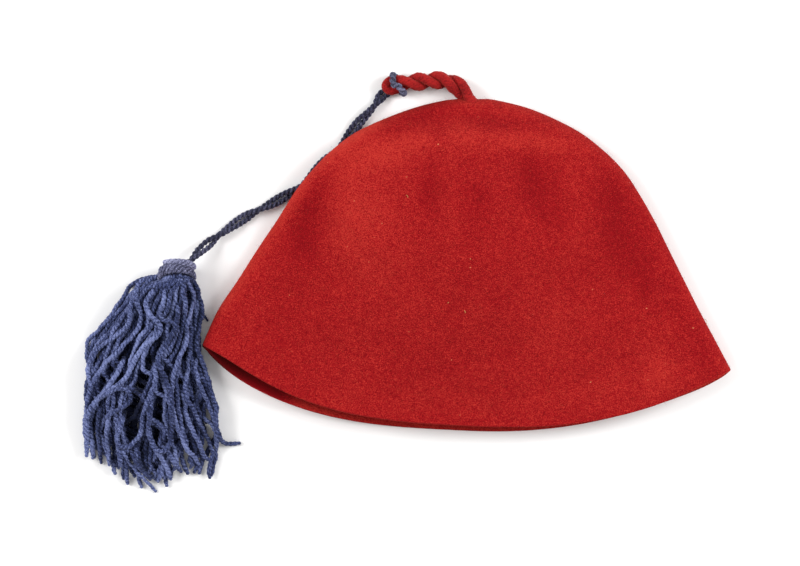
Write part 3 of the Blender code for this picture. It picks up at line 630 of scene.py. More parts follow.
def yarn_material(name, deep, middle, light, tint, streaks=1.0):
    """Plied wool: fine fibres that follow the plies, lighter and darker from strand to strand, with painted
    shade in the grooves between the plies and deep in the tassel's skirt.
    """
    material, tree, shader = new_material(name, 0.93, 0.15, tint)
    place = object_place(tree)
    fibres = noise(tree, stored(tree, "grain", "Vector"), 3.0 * streaks, 3.0, roughness=0.65,
                   distortion=0.35)
    fluff = noise(tree, place, 1500.0, 2.0, roughness=0.6)
    patch = noise(tree, place, 90.0, 2.0)
    # painted shade: darker in the ply grooves, and where strands lie deep in the skirt and its valleys
    mixed = weigh(tree, ((fibres, 1.7, 0.5), (fluff, 1.4, 0.5), (patch, 0.8, 0.5),
                         (stored(tree, "strand"), 0.40, 0.5), (stored(tree, "ply_groove_shade"), 0.52, 0.78),
                         (stored(tree, "low"), -0.75, 0.0)))
    colour = add_ramp(tree, mixed, ((0.10, deep), (0.48, middle), (0.90, light)))
    relief = weigh(tree, ((fibres, 0.8, 0.5), (fluff, 0.4, 0.5)))
    finish_material(tree, shader, colour, relief, 0.0003)
    return material


def fibre_material(name, colour, other, tint):
    """Single fibres: the yarn's or the felt's colour, varied from fibre to fibre."""
    material, tree, shader = new_material(name, 0.85, 0.2, tint)
    varied = noise(tree, object_place(tree), 400.0, 1.0)
    finish_material(tree, shader, add_ramp(tree, varied, ((0.35, colour), (0.65, other))))
    return material


def floor_material():
    """Plain pale paper."""
    material, tree, shader = new_material("floor_paper", 0.9, 0.0, (1.0, 1.0, 1.0))
    varied = noise(tree, object_place(tree), 6.0, 3.0)
    finish_material(tree, shader, add_ramp(tree, varied, ((0.3, (0.86, 0.855, 0.85)),
                                                          (0.7, (0.88, 0.88, 0.878)))))
    return material


def add_object(name, data, material):
    """A new object with its material."""
    made = bpy.data.objects.new(name, data)
    bpy.context.scene.collection.objects.link(made)
    data.materials.append(material)
    return made


def mesh_from(name, points, faces, material):
    """A smooth-shaded mesh object."""
    mesh = bpy.data.meshes.new(name)
    mesh.from_pydata(points.tolist(), [], faces)
    mesh.shade_smooth()
    return add_object(name, mesh, material)


def store_values(piece, name, values):
    """Keeps one value at each point of a mesh, for its material."""
    store = piece.data.attributes.new(name, "FLOAT", "POINT")
    store.data.foreach_set("value", values.astype(np.float32).ravel())


def points_of(piece):
    """The points of a mesh."""
    points = np.zeros(len(piece.data.vertices) * 3)
    piece.data.vertices.foreach_get("co", points)
    return points.reshape(-1, 3)


def ring_quads(starts, rows, sides):
    """Faces between the rings of one tube or several, whose points start at those numbers."""
    rings = starts + np.arange(rows - 1)[:, None] * sides
    here = rings + np.arange(sides)
    beside = rings + np.roll(np.arange(sides), -1)
    return np.stack([here, beside, beside + sides, here + sides], axis=-1).reshape(-1, 4)


def ply_section(sides, ply):
    """Outline of two plies side by side, 1 at its widest, with plies of that radius."""
    turns = np.linspace(0, 2 * math.pi, sides, endpoint=False)
    offset = 1 - ply
    reach = np.abs(np.cos(turns)) * offset + np.sqrt(ply ** 2 - (offset * np.sin(turns)) ** 2)
    return np.column_stack([reach * np.cos(turns), reach * np.sin(turns)])


def round_section(sides):
    """A circle."""
    turns = np.linspace(0, 2 * math.pi, sides, endpoint=False)
    return np.column_stack([np.cos(turns), np.sin(turns)])


def unit(vectors):
    """The vectors at length 1."""
    return vectors / np.maximum(np.linalg.norm(vectors, axis=-1, keepdims=True), 1e-12)


def carried_frames(lines):
    """Two directions square to each line, carried along it without turning."""
    tangents = unit(np.gradient(lines, axis=1))
    start = np.cross(tangents[:, 0], (0.0, 0.0, 1.0))
    start += 1e-6 * np.array([1.0, 0.3, 0.0])
    normals = np.empty_like(lines)
    normals[:, 0] = unit(start)
    for ring in range(1, lines.shape[1]):
        before = normals[:, ring - 1]
        tangent = tangents[:, ring]
        level = before - tangent * (before * tangent).sum(axis=1, keepdims=True)
        normals[:, ring] = unit(level)
    return tangents, normals, np.cross(tangents, normals)


def make_yarn(name, lines, radii, material, section, pitch=YARN_PITCH, seed=1):
    """Strands along lines of equal count: a section that turns once a pitch, with rounded ends."""
    rng = np.random.default_rng(seed)
    strands, rings = radii.shape
    sides = len(section)
    rows = rings + 2
    shape = (strands, rows, sides)
    tangents, normals, binormals = carried_frames(lines)
    run = runs_of(lines)
    turn = (rng.uniform(0, 2 * math.pi, (strands, 1)) - 2 * math.pi * run / pitch)[..., None]
    a = section[:, 0] * np.cos(turn) - section[:, 1] * np.sin(turn)
    b = section[:, 0] * np.sin(turn) + section[:, 1] * np.cos(turn)
    size = radii[..., None]
    offsets = (a * size)[..., None] * normals[:, :, None] + (b * size)[..., None] * binormals[:, :, None]
    tuck = radii.min(axis=1)[:, None, None] * END_REACH
    front = (lines[:, :1] - tangents[:, :1] * tuck)[:, :, None] + offsets[:, :1] * END_SIZE
    back = (lines[:, -1:] + tangents[:, -1:] * tuck)[:, :, None] + offsets[:, -1:] * END_SIZE
    points = np.concatenate([front, lines[:, :, None] + offsets, back], axis=1)
    starts = np.arange(strands)[:, None] * rows * sides
    fronts = starts + np.arange(sides)[::-1]
    backs = starts + (rows - 1) * sides + np.arange(sides)
    faces = ring_quads(starts[..., None], rows, sides).tolist() + fronts.tolist() + backs.tolist()
    made = mesh_from(name, points.reshape(-1, 3), faces, material)
    mm = radii.mean() * 1000
    long = np.concatenate([run[:, :1], run, run[:, -1:]], axis=1) * 1000 * STREAK_STRETCH
    long += rng.uniform(0, 400, (strands, 1))
    grain = [np.broadcast_to(part, shape)
             for part in (section[:, 0] * mm, section[:, 1] * mm, long[..., None])]
    store = made.data.attributes.new("grain", "FLOAT_VECTOR", "POINT")
    store.data.foreach_set("vector", np.stack(grain, axis=-1).astype(np.float32).ravel())
    store_values(made, "strand", np.broadcast_to(rng.uniform(0.0, 1.0, (strands, 1, 1)), shape))
    # painted shade in the grooves between the plies: 1 on a ply's lobe, less towards the groove
    lobe = (np.linalg.norm(section, axis=1) - 0.4) / 0.6
    store_values(made, "ply_groove_shade", np.broadcast_to(lobe, shape))
    return made


def make_fibres(name, roots, outward, lie, lengths, radius, material, seed):
    """Single fibres: thin three-sided spikes that leave the surface and bend over along it."""
    rng = np.random.default_rng(seed)
    count = len(roots)
    roots = np.asarray(roots)
    bend = unit(rng.normal(size=(count, 3)))
    lengths = np.asarray(lengths)[:, None]
    middle = roots + lengths * 0.5 * unit(outward + 0.6 * lie + 0.25 * bend)
    tip = middle + lengths * 0.5 * unit(0.25 * outward + lie + 0.7 * bend)
    base = roots - outward * radius * 2
    ahead = unit(tip - base)
    side = unit(np.cross(ahead, bend))
    other = np.cross(ahead, side)
    turns = np.linspace(0, 2 * math.pi, 3, endpoint=False)
    ring = np.stack([np.cos(t) * side + np.sin(t) * other for t in turns], axis=1)
    low = base[:, None] + ring * radius
    high = middle[:, None] + ring * radius * 0.75
    points = np.concatenate([low, high, tip[:, None]], axis=1).reshape(-1, 3)
    points[:, 2] = np.maximum(points[:, 2], 0.0001)
    start = np.arange(count)[:, None] * 7
    faces = (start + np.array([2, 1, 0])).tolist()
    for a, b in ((0, 1), (1, 2), (2, 0)):
        faces += (start + np.array([a, b, b + 3, a + 3])).tolist()
        faces += (start + np.array([a + 3, b + 3, 6])).tolist()
    return mesh_from(name, points, faces, material)


def make_camera():
    """The camera above the floor, looking straight down as in the photograph."""
    data = bpy.data.cameras.new("camera")
    data.sensor_width = SENSOR_MM
    data.lens = SENSOR_MM * CAMERA_RISE / SEEN_WIDTH
    data.clip_start = 0.01
    data.clip_end = 100.0
    camera = bpy.data.objects.new("camera", data)
    camera.location = (*SEEN_MIDDLE, CAMERA_RISE + SIDE_FOLD)
    bpy.context.scene.collection.objects.link(camera)
    bpy.context.scene.camera = camera


def level_frames(line):
    """Along a line: its direction, the level direction square to it, and the one square to both."""
    tangents = unit(np.gradient(line, axis=0))
    side = unit(np.cross((0.0, 0.0, 1.0), tangents))
    return tangents, side, np.cross(tangents, side)


def cord_lines():
    """The middle line of the free cord and its two strands, side by side or one over the other."""
    route = [*CORD_START, *CORD_ROUTE, tuple(np.add(CORD_ROUTE[-1], CORD_SINK))]
    middle = evenly(smooth_curve(route), 300)
    run = runs_of(middle)
    place = (run - runs_of(smooth_curve(route[:3]))[-1]) * 1000
    turn = math.pi * (read_table(CORD_TWIST, place, "run_mm", "half_turns") + 0.02 * np.minimum(place, 0))
    _, side, up = level_frames(middle)
    apart = CORD_STRAND_RADIUS * 0.93 + CORD_OPENING * np.cos(turn) ** 2
    apart *= 1 - 0.25 * smooth_step((run - run[-1] + 0.010) / 0.010)
    drop = CORD_FLOOR - CORD_STRAND_RADIUS - 0.0001 - apart * np.abs(np.sin(turn))
    drop = np.maximum(drop, 0) * smooth_step((run[-1] - 0.014 - run) / 0.010)
    middle = middle - np.outer(drop, (0, 0, 1))
    offset = apart[:, None] * turned(turn, side, up)
    return middle, np.array([middle + offset, middle - offset])


def make_cord(material):
    """The free cord's two plied strands."""
    middle, strands = cord_lines()
    radii = CORD_STRAND_RADIUS * (1 + 0.06 * waves(strands, 0.009, 31))
    strands = on_floor(strands, radii)
    made = make_yarn("tassel_cord_strands", strands, radii, material, ply_section(12, PLY_SHARE),
                     pitch=CORD_PITCH, seed=5)
    return made, middle, strands, radii


def loop_line():
    """The middle line of the crown loop's rope."""
    root = (CROWN.x - LOOP_ROOT, CROWN.y + GAP)
    z = max(ROPE_RADIUS + GAP, SIDE_FOLD) + 0.0001
    points = [(root[0] - bend.out * LOOP_RUN, root[1] + bend.up * LOOP_RISE, z) for bend in LOOP_LINE]
    return smooth_curve(points)


def rope_line():
    """One thick yarn that leaves the crown, folds back at the loop's end and twists with itself."""
    line = loop_line()
    line[:, 0] += 0.0012 * (1 - smooth_step(runs_of(line) / 0.014))
    line = evenly(np.vstack([line[:1] + ROPE_SINK, line]), 260)
    run = runs_of(line)
    eye = run[-1] - ROPE_RADIUS - 0.0004
    keep = run <= eye
    line = line[keep]
    run = run[keep]
    tangents, side, up = level_frames(line)
    turn = -math.pi * read_table(ROPE_TWIST, (eye - run) * 1000, "run_mm", "half_turns")
    open_up = 1 + 0.10 * smooth_step((run - eye + 0.008) / 0.008) + 0.10 * (1 - smooth_step(run / 0.016))
    offset = (ROPE_OFFSET * open_up)[:, None] * turned(blur(turn, 4), side, up)
    half_circle = np.linspace(0, math.pi, 26)[1:-1, None]
    fold = np.cos(half_circle) * side[-1] + 1.15 * np.sin(half_circle) * tangents[-1]
    fold = line[-1] + np.linalg.norm(offset[-1]) * fold
    return np.vstack([line + offset, fold, (line - offset)[::-1]])


def make_rope(material):
    """The crown loop's rope."""
    line = evenly(rope_line(), 420)
    run = runs_of(line)
    swell = 1 + ripple(line, ROPE_RIPPLES)
    near_root = np.minimum(run, run[-1] - run)
    radii = ROPE_PLY * swell * (1 + 0.22 * (1 - smooth_step(near_root / 0.012)))
    made = make_yarn("crown_rope", line[None], radii[None], material, round_section(28),
                     pitch=ROPE_PITCH, seed=3)
    points = points_of(made)
    relief = np.column_stack([waves(points, 0.0016, 40 + axis) for axis in range(3)])
    made.data.vertices.foreach_set("co", (points + ROPE_RELIEF * relief).ravel())
    return made, line[None], radii[None]


def make_hitch(material):
    """The strand over the rope near its folded end."""
    line = evenly(smooth_curve(HITCH_ROUTE), 70)[None]
    radii = np.full(line.shape[:2], HITCH_RADIUS)
    return make_yarn("cord_hitch_strand", line, radii, material, ply_section(14, HITCH_PLY_SHARE),
                     pitch=HITCH_PITCH, seed=8)


def cap_edges():
    """The pressed outline, and its halves from the crown tip to the left and right rim corner."""
    left = [(CROWN.x - side.out * LEFT_REACH, CROWN.y - side.down * LEFT_DROP) for side in LEFT_SIDE]
    right = [(CROWN.x + side.out * RIGHT_REACH, CROWN.y - side.down * RIGHT_DROP) for side in RIGHT_SIDE]
    outline = smooth_curve(left[::-1] + [tuple(CROWN)] + right)
    tip = len(left) * CURVE_SPAN
    return outline, outline[tip::-1], outline[tip:]


def sheet_plan(left_edge, right_edge, shares, across, rim, square=0.0, square_right=0.0):
    """Plan places of one wall, a row for each share from the crown to the rim."""
    left = along(left_edge, shares)[:, None, :]
    right = along(right_edge, shares)[:, None, :]
    share = shares[:, None]
    phi = across[None, :]
    chord = left + (right - left) * ((phi[..., None] + 1) / 2)
    middle = CROWN.y - share * (MIDDLE_DROP + rim.bow)
    bow = (left[..., 1] + right[..., 1]) / 2 - middle
    corner = np.where(phi < 0, rim.left + square * phi ** 6, rim.right + square_right * phi ** 8)
    power = 2 + (corner - 2) * share ** 2
    plan = chord.copy()
    plan[..., 1] -= bow * (1 - np.abs(phi) ** power)
    return plan


def distance_to(line, plan):
    """Each plan point's distance to a line."""
    dense = evenly(line, DENSE)
    tree = plan_tree(dense)
    flat = plan.reshape(-1, 2)
    near = np.array([tree.find((*point, 0.0))[1] for point in flat])
    best = np.full(len(flat), np.inf)
    for step in (-1, 0):
        start = np.clip(near + step, 0, len(dense) - 2)
        leg = dense[start + 1] - dense[start]
        share = ((flat - dense[start]) * leg).sum(axis=1) / (leg * leg).sum(axis=1)
        foot = dense[start] + leg * np.clip(share, 0, 1)[:, None]
        best = np.minimum(best, np.linalg.norm(flat - foot, axis=1))
    return best.reshape(plan.shape[:-1])


def cord_lift(plan):
    """How far the felt is held up where it rides over the cord."""
    hidden = smooth_curve([place[:2] for place in CORD_ROUTE[CORD_HIDDEN]])
    return CORD_DIAMETER * np.exp(-(distance_to(hidden, plan) / CORD_RIDE_REACH) ** 2)


def loft_height(shares, across):
    """Rise of the upper wall above the folds, highest behind the crown and low at the mouth."""
    crest = 0.42
    lean = 0.30
    share = shares[:, None]
    phi = across[None, :]
    rise = np.sin(math.pi / 2 * np.clip(share / crest, 0, 1))
    fall = smooth_step((share - crest) / (1 - crest))
    height = LOFT + (MOUTH_LOFT - LOFT) * fall
    return rise * height * (1 - phi ** 2) * (1 - lean * phi * share ** 2)


def dent_depth(plan):
    """Depth of the dents of the upper wall."""
    depth = np.zeros(plan.shape[:-1])
    for dent in DENTS:
        x = (plan[..., 0] - CROWN.x) / CAP_WIDTH - dent.across
        y = (CROWN.y - plan[..., 1]) / CAP_LENGTH - dent.down
        depth += LOFT * dent.deep * np.exp(-(x / dent.wide) ** 2 - (y / dent.long) ** 2)
    return depth


def fold_rise(outline, plan):
    """How far a wall stands from the fold's middle height: nothing on the outline, level inside it."""
    inward = np.minimum(distance_to(outline, plan), SIDE_FOLD)
    return np.sqrt(np.maximum(SIDE_FOLD ** 2 - (SIDE_FOLD - inward) ** 2, 0.0))


def cap_rings():
    """Rings round both walls, from the crown to the rim, and the point at the crown's tip."""
    outline, left_edge, right_edge = cap_edges()
    shares = 1 - (1 - (np.arange(1, CAP_ROWS + 1) / CAP_ROWS) ** ROW_SPREAD) ** 1.3
    across = -np.cos(np.linspace(0, math.pi, CAP_COLUMNS + 1))
    upper = sheet_plan(left_edge, right_edge, shares, across, UPPER_RIM, SQUARE_UPPER)
    lower = sheet_plan(left_edge, right_edge, shares, across, LOWER_RIM, SQUARE_LOWER, SQUARE_RIGHT)
    edge_fade = np.minimum(distance_to(outline, upper) / SIDE_FOLD, 1.0)
    upper_z = SIDE_FOLD + fold_rise(outline, upper) + loft_height(shares, across) + cord_lift(upper)
    upper_z += (ripple(upper, FELT_RIPPLES) - dent_depth(upper)) * edge_fade
    lower_z = SIDE_FOLD - fold_rise(outline, lower) + cord_lift(lower)
    near_rim = smooth_step((shares[:, None] - RIM_CURL_FROM) / (1 - RIM_CURL_FROM))
    inside = np.minimum(distance_to(outline, lower) / 0.004, 1.0)
    lower_z += RIM_CURL * near_rim * smooth_step((-across[None, :] - 0.15) / 0.6) * inside
    rings = []
    for row in range(CAP_ROWS):
        over = np.column_stack([upper[row], upper_z[row]])
        under = np.column_stack([lower[row], lower_z[row]])[-2:0:-1]
        rings.append(np.vstack([over, under]))
    rings = np.array(rings)
    last_step = rings[-1] - rings[-2]
    long = np.linalg.norm(last_step, axis=1, keepdims=True)
    rings[-1] -= np.minimum(RIM_SETBACK, 0.6 * long) * unit(last_step)
    tip_lift = float(cord_lift(np.array([tuple(CROWN)]))[0])
    return as_seen(rings), (CROWN.x, CROWN.y, SIDE_FOLD + tip_lift)


def shell_quads(rows, sides):
    """Faces of the felt's rings, which start at its second point."""
    return ring_quads(1, rows, sides)[:, [0, 3, 2, 1]].tolist()


def make_cap(material):
    """The felt shell: outer face, rounded rim and inner face, closed at the crown."""
    rings, tip = cap_rings()
    rows, sides, _ = rings.shape
    points = np.vstack([[tip], rings.reshape(-1, 3)])
    fan = [(0, 1 + side, 1 + (side + 1) % sides) for side in range(sides)]
    skin = bpy.data.meshes.new("skin")
    skin.from_pydata(points.tolist(), [], fan + shell_quads(rows, sides))
    outward = np.zeros(len(points) * 3)
    skin.vertex_normals.foreach_get("vector", outward)
    outward = outward.reshape(-1, 3)[1:].reshape(rings.shape)
    bpy.data.meshes.remove(skin)
    down = unit(np.concatenate([rings[1:], 2 * rings[-1:] - rings[-2:-1]]) - rings)
    inner = rings - FELT * outward
    middle = (rings[-1] + inner[-1]) / 2
    rim = [middle + FELT / 2 * (math.cos(turn) * outward[-1] + 0.7 * math.sin(turn) * down[-1])
           for turn in np.linspace(0, math.pi, 7)[1:-1]]
    stack = np.concatenate([rings, np.array(rim), inner[::-1]])
    points = np.vstack([[tip], stack.reshape(-1, 3), [np.array(tip) - (0.0, FELT, 0.0)]])
    last = len(points) - 1
    start = last - sides
    fan += [(last, start + (side + 1) % sides, start + side) for side in range(sides)]
    made = mesh_from("felt_shell", points, fan + shell_quads(len(stack), sides), material)
    mark_painted_light(made, points, rows, len(stack), sides)
    return made, rings, outward, down


def mark_painted_light(shell, points, outer_rows, rows, sides):
    """Notes the painted light and shade at each point of the shell: lighter and darker patches, painted sheen
    on the left fold, a painted highlight on the right cut edge, and painted shade inside and on the lip on
    the left.
    """
    painted_tone = felt_painted_light(points)
    place = np.arange(len(points))
    row, side = np.divmod(place - 1, sides)
    inner_face = place > (rows - outer_rows) * sides
    below = side > CAP_COLUMNS
    x = points[:, 0]
    left = smooth_step((INSIDE_FADE.start - x) / INSIDE_FADE.run)
    # painted shade on the inner face behind the slot on the left, painted light on the rest of it
    painted_tone += inner_face * (INSIDE_PAINTED_SHADE * left + INSIDE_PAINTED_LIGHT * (1 - left))
    # painted highlight on the upper wall's cut edge, on the right
    edge = (row >= outer_rows) & (row < outer_rows + EDGE_ROWS) & ~below
    painted_tone += EDGE_PAINTED_HIGHLIGHT * edge * smooth_step((x - EDGE_FADE.start) / EDGE_FADE.run)
    # painted shade of the slot's inner face and of the lip on the left
    lip = (row >= outer_rows - LIP_ROWS[0]) & (row < outer_rows + LIP_ROWS[1]) & below
    painted_slot_shade = np.maximum(SLOT_PAINTED_SHADE * inner_face * smooth_step((HOLLOW_FADE.start - x) / HOLLOW_FADE.run),
                        LIP_PAINTED_SHADE * lip * smooth_step((LIP_FADE.start - x) / LIP_FADE.run))
    store_values(shell, "painted_tone", painted_tone)
    store_values(shell, "painted_slot_shade", painted_slot_shade)


def valley_at(valley, down, beyond):
    """A valley's middle and half width at shares of the skirt's length, with that width in mm beyond it."""
    places = column(valley, "down") / 1000 / SKIRT_LENGTH
    middle = HEAD_X + np.interp(down, places, column(valley, "right")) / 1000
    wide = np.interp(down, places, column(valley, "wide"), left=beyond, right=beyond) / 1000
    return middle, wide


def mark_painted_depth_shade(piece):
    """Notes painted shade for the skirt's strands: darker the deeper inside the skirt a point lies, and in
    the valleys.
    """
    x, y, z = points_of(piece).T
    down = np.clip((SKIRT_TOP - y) / SKIRT_LENGTH, 0, 1)
    left, right, high = skirt_at(down)
    # painted shade: the lower a strand lies in the skirt's middle, the darker
    low = 0.25 * np.clip(1 - z / (0.62 * high), 0, 1)
    beside = np.abs(x - (left + right) / 2) / ((right - left) / 2)
    low *= smooth_step((1 - beside) / 0.35) * smooth_step((0.93 - down) / 0.2)
    # painted shade in the valleys between the strands
    for valley in VALLEYS:
        middle, wide = valley_at(valley, down, 0.01)
        near = np.exp(-((x - middle) / (1.1 * wide)) ** 2) * np.minimum(wide / 0.0025, 1)
        low = np.maximum(low, near * smooth_step((0.62 - z / high) / 0.15))
    store_values(piece, "low", low)


def felt_painted_light(points):
    """Painted light and shade at each point: the table's lighter and darker patches, and a painted sheen
    along the left fold.
    """
    right = (points[:, 0] - CROWN.x) * 1000
    down = (CROWN.y - points[:, 1]) * 1000
    total = np.zeros(len(points))
    for painted_tone in PAINTED_TONES:
        turn = math.radians(painted_tone.turn)
        x = right - painted_tone.right
        y = down - painted_tone.down
        wide = x * math.cos(turn) + y * math.sin(turn)
        long = y * math.cos(turn) - x * math.sin(turn)
        total += painted_tone.light * np.exp(-(wide / painted_tone.wide) ** 2 - (long / painted_tone.long) ** 2)
    _, left_edge, _ = cap_edges()
    flank = left_edge[len(left_edge) // 4:int(0.9 * len(left_edge))]
    # painted sheen along the fold on the left
    return total + FLANK_PAINTED_SHEEN * np.exp(-(distance_to(flank, points[:, :2]) / FLANK_REACH) ** 2)


def skirt_at(down):
    """The skirt's left edge, right edge and height at shares of its length."""
    left, right, high = (read_table(SKIRT, down, "down", name) for name in ("left", "right", "high"))
    return HEAD_X - TASSEL_WIDTH * left, HEAD_X + TASSEL_WIDTH * right, TASSEL_THICK * high


def clear_valleys(x, z, r, downs, high):
    """Pushes the higher strands a step out of the valleys."""
    cuts = [(valley, VALLEY_BED) for valley in VALLEYS] + [(opening, -1.0) for opening in OPENINGS]
    for valley, bed in cuts:
        middle, wide = valley_at(valley, downs, -1)
        far = x - middle
        deep = wide + r - np.abs(far)
        push = (wide > 0) & (deep > 0) & (z > bed * high)
        x = x + np.where(push, 0.5 * deep * np.where(far < 0, -1.0, 1.0), 0.0)
    return x


def drifting(p, q, downs, rng):
    """Places across the skirt, 1 at its edge, that wander along it from the given starts."""
    drift = np.zeros((2, len(p), len(downs)))
    for axis in range(2):
        for waves_long in (0.8, 1.5, 2.6):
            phase = rng.uniform(0, 2 * math.pi, (len(p), 1))
            size = rng.uniform(0.4, 1.0, (len(p), 1)) * DRIFT / waves_long ** 0.6
            drift[axis] += size * (np.sin(2 * math.pi * waves_long * downs + phase) - np.sin(phase))
    x = p[:, None] + drift[0]
    z = q[:, None] + drift[1]
    reach = np.maximum(np.hypot(x, z), 1.0)
    return x / reach, z / reach


def evened(values):
    """Values along strands, each drawn a step towards those beside it."""
    values[:, 1:-1] = 0.25 * values[:, :-2] + 0.5 * values[:, 1:-1] + 0.25 * values[:, 2:]
    return values


def base_strands():
    """The strands that fill the skirt, pushed apart slice by slice until they lie on each other."""
    rng = np.random.default_rng(17)
    index = np.arange(BASE_STRANDS)
    out = np.sqrt((index + 0.5) / BASE_STRANDS)
    p = out * np.cos(index * SPIRAL_TURN)
    q = out * np.sin(index * SPIRAL_TURN)
    radii = STRAND_RADIUS * rng.uniform(*UNEQUAL, BASE_STRANDS)
    downs = np.linspace(0.0, 1.0, SLICES)
    left, right, high = skirt_at(downs)
    high = np.maximum(high - TOP_LAYER * smooth_step(downs / 0.15) * smooth_step((1 - downs) / 0.3),
                      3 * STRAND_RADIUS)
    x_share, z_share = drifting(p, q, downs, rng)
    half = (right - left) / 2
    middle = (left + right) / 2
    r = radii[:, None]
    x = middle + x_share * (half - r)
    z = high / 2 + z_share * (high / 2 - r)
    ends = read_table(LOCK_ENDS, (p + 1) / 2, "across", "down")
    long = rng.random(BASE_STRANDS) < LONG_SHARE
    ends = ends - np.where(long, LONG_CUT, SHORT_CUT) * rng.random(BASE_STRANDS)
    ends = ends - np.where(long, 0.0, SHORTER)
    alive = downs[None, :] <= ends[:, None] + 1 / SLICES
    touch = radii[:, None] + radii[None, :]
    for step in range(SETTLE_STEPS):
        dx = x[:, None, :] - x[None, :, :]
        dz = z[:, None, :] - z[None, :, :]
        far = np.sqrt(dx ** 2 + dz ** 2) + 1e-9
        lap = np.maximum(touch[:, :, None] - far, 0.0)
        lap *= alive[:, None, :] & alive[None, :, :] & (far > 1e-8)
        x = x + SETTLE_PUSH * (lap * dx / far).sum(axis=1)
        z = z + SETTLE_PUSH * (lap * dz / far).sum(axis=1)
        z = z - SETTLE_SINK * (1 - step / SETTLE_STEPS)
        x = clear_valleys(x, z, r, downs, high)
        off = np.abs(x - middle) / (half - r)
        x = evened(np.where(off > 1, middle + (x - middle) / off, x))
        z = np.maximum(evened(np.maximum(z, r + FLOOR_GAP)), r + FLOOR_GAP)
    neck = HEAD_RADIUS - WRAP - GAP - 0.0004
    lines = []
    for strand, end in enumerate(ends):
        down = np.append(downs[1:][downs[1:] < end - 0.01], end)
        body = np.column_stack([np.interp(down, downs, x[strand]), SKIRT_TOP - down * SKIRT_LENGTH,
                                np.interp(down, downs, z[strand])])
        root = (HEAD_X + neck * p[strand], SKIRT_TOP + 0.0018, HEAD_Z + neck * q[strand])
        start = (root[0], SKIRT_TOP + 0.0042 + 0.0030 * max(q[strand], 0.0), root[2])
        lines.append(smooth_curve(np.vstack([start, root, body]), 4))
    return lines, radii


class Ground:
    """The strands that already lie there, to lay the next one on."""

    def __init__(self):
        self.points = []

    def add(self, line, radius):
        """Lays a strand there."""
        self.points += [(x, y, z, radius) for x, y, z in line]

    def height(self, plan, radius):
        """How high a strand's middle lies at places in plan."""
        tree = plan_tree(self.points)
        heights = []
        for place in plan:
            best = radius
            for _, index, far in tree.find_range((place[0], place[1], 0.0), radius * 2.1):
                _, _, z, other = self.points[index]
                reach = radius + other
                if far < reach:
                    best = max(best, z + math.sqrt(reach ** 2 - far ** 2))
            heights.append(best)
        return np.array(heights)


def blur(values, width):
    """Values smoothed with a bell of that many steps."""
    steps = np.arange(-3 * width, 3 * width + 1)
    bell = np.exp(-0.5 * (steps / width) ** 2)
    padded = np.pad(values, 3 * width, mode="edge")
    return np.convolve(padded, bell / bell.sum(), mode="valid")


def top_strands(ground):
    """The strands that show on top, each laid on those before it."""
    lines = []
    radii = []
    for strand in TOP_STRANDS:
        radius = STRAND_RADIUS * strand.thick
        plan = [(HEAD_X + x / 1000, SKIRT_TOP - down / 1000) for x, down in strand.places]
        if strand.start == "head":
            aside = 0.55 * min(max(plan[0][0] - HEAD_X, -0.012), 0.012)
            plan.insert(0, (HEAD_X + aside, SKIRT_TOP + 0.0045 - abs(aside) * 0.3))
        plan = smooth_curve(plan)
        long = runs_of(plan)[-1]
        count = max(12, int(long / TOP_STEP))
        plan = evenly(plan, count)
        z = blur(ground.height(plan, radius) - BEDDED * radius, 3)
        _, _, high = skirt_at(np.clip((SKIRT_TOP - plan[:, 1]) / SKIRT_LENGTH, 0, 1))
        z = np.where(z > high, high + PRESSED * (z - high), z)
        run = np.linspace(0, long, count)
        if strand.start == "head":
            start = smooth_step((run - 0.002) / 0.012)
            neck = (HEAD_RADIUS - 0.8 * WRAP) ** 2 - (plan[:, 0] - HEAD_X) ** 2
            z = z * start + (HEAD_Z + np.sqrt(np.maximum(neck, 0)) - radius) * (1 - start)
        else:
            z = z - DIVE * (1 - smooth_step(run / DIVE_RUN))
        if strand.end == "under":
            z = z - DIVE * (1 - smooth_step((long - run) / DIVE_RUN))
        line = np.column_stack([plan, np.maximum(z, radius + FLOOR_GAP)])
        ground.add(line, radius)
        lines.append(as_seen(line))
        radii.append(radius)
    return lines, radii


def on_floor(lines, radii):
    """The lines lifted where they would pass below the floor."""
    lines = np.array(lines)
    lines[..., 2] = np.maximum(lines[..., 2], 1.06 * radii + 0.0001)
    return lines


def crimped(lines, size, seed):
    """Strands with the small bends of wool that was plied."""
    rng = np.random.default_rng(seed)
    lines = np.array(lines)
    run = runs_of(lines)
    ease = smooth_step(run / CRIMP_RUN)[..., None]
    for wavelength in CRIMP_WAVES:
        way = unit(rng.normal(size=(len(lines), 1, 3)) * np.array([1.0, 0.4, 0.7]))
        phase = rng.uniform(0, 2 * math.pi, (len(lines), 1))
        swing = np.sin(2 * math.pi * run / wavelength + phase)[..., None]
        lines = lines + size * math.sqrt(wavelength / 0.013) * ease * swing * way
    return lines


def strand_radii(lines, radii, seed, root=0.55):
    """A radius at each ring: pressed thin at the binding, uneven along the strand."""
    rng = np.random.default_rng(seed)
    run = runs_of(lines)
    grow = root + (1 - root) * smooth_step(run / 0.014)
    uneven = 1 + 0.05 * np.sin(2 * math.pi * run / 0.017 + rng.uniform(0, 2 * math.pi, (len(lines), 1)))
    tip = 0.72 + 0.28 * smooth_step((run[:, -1:] - run) / 0.003)
    return np.array(radii)[:, None] * grow * uneven * tip


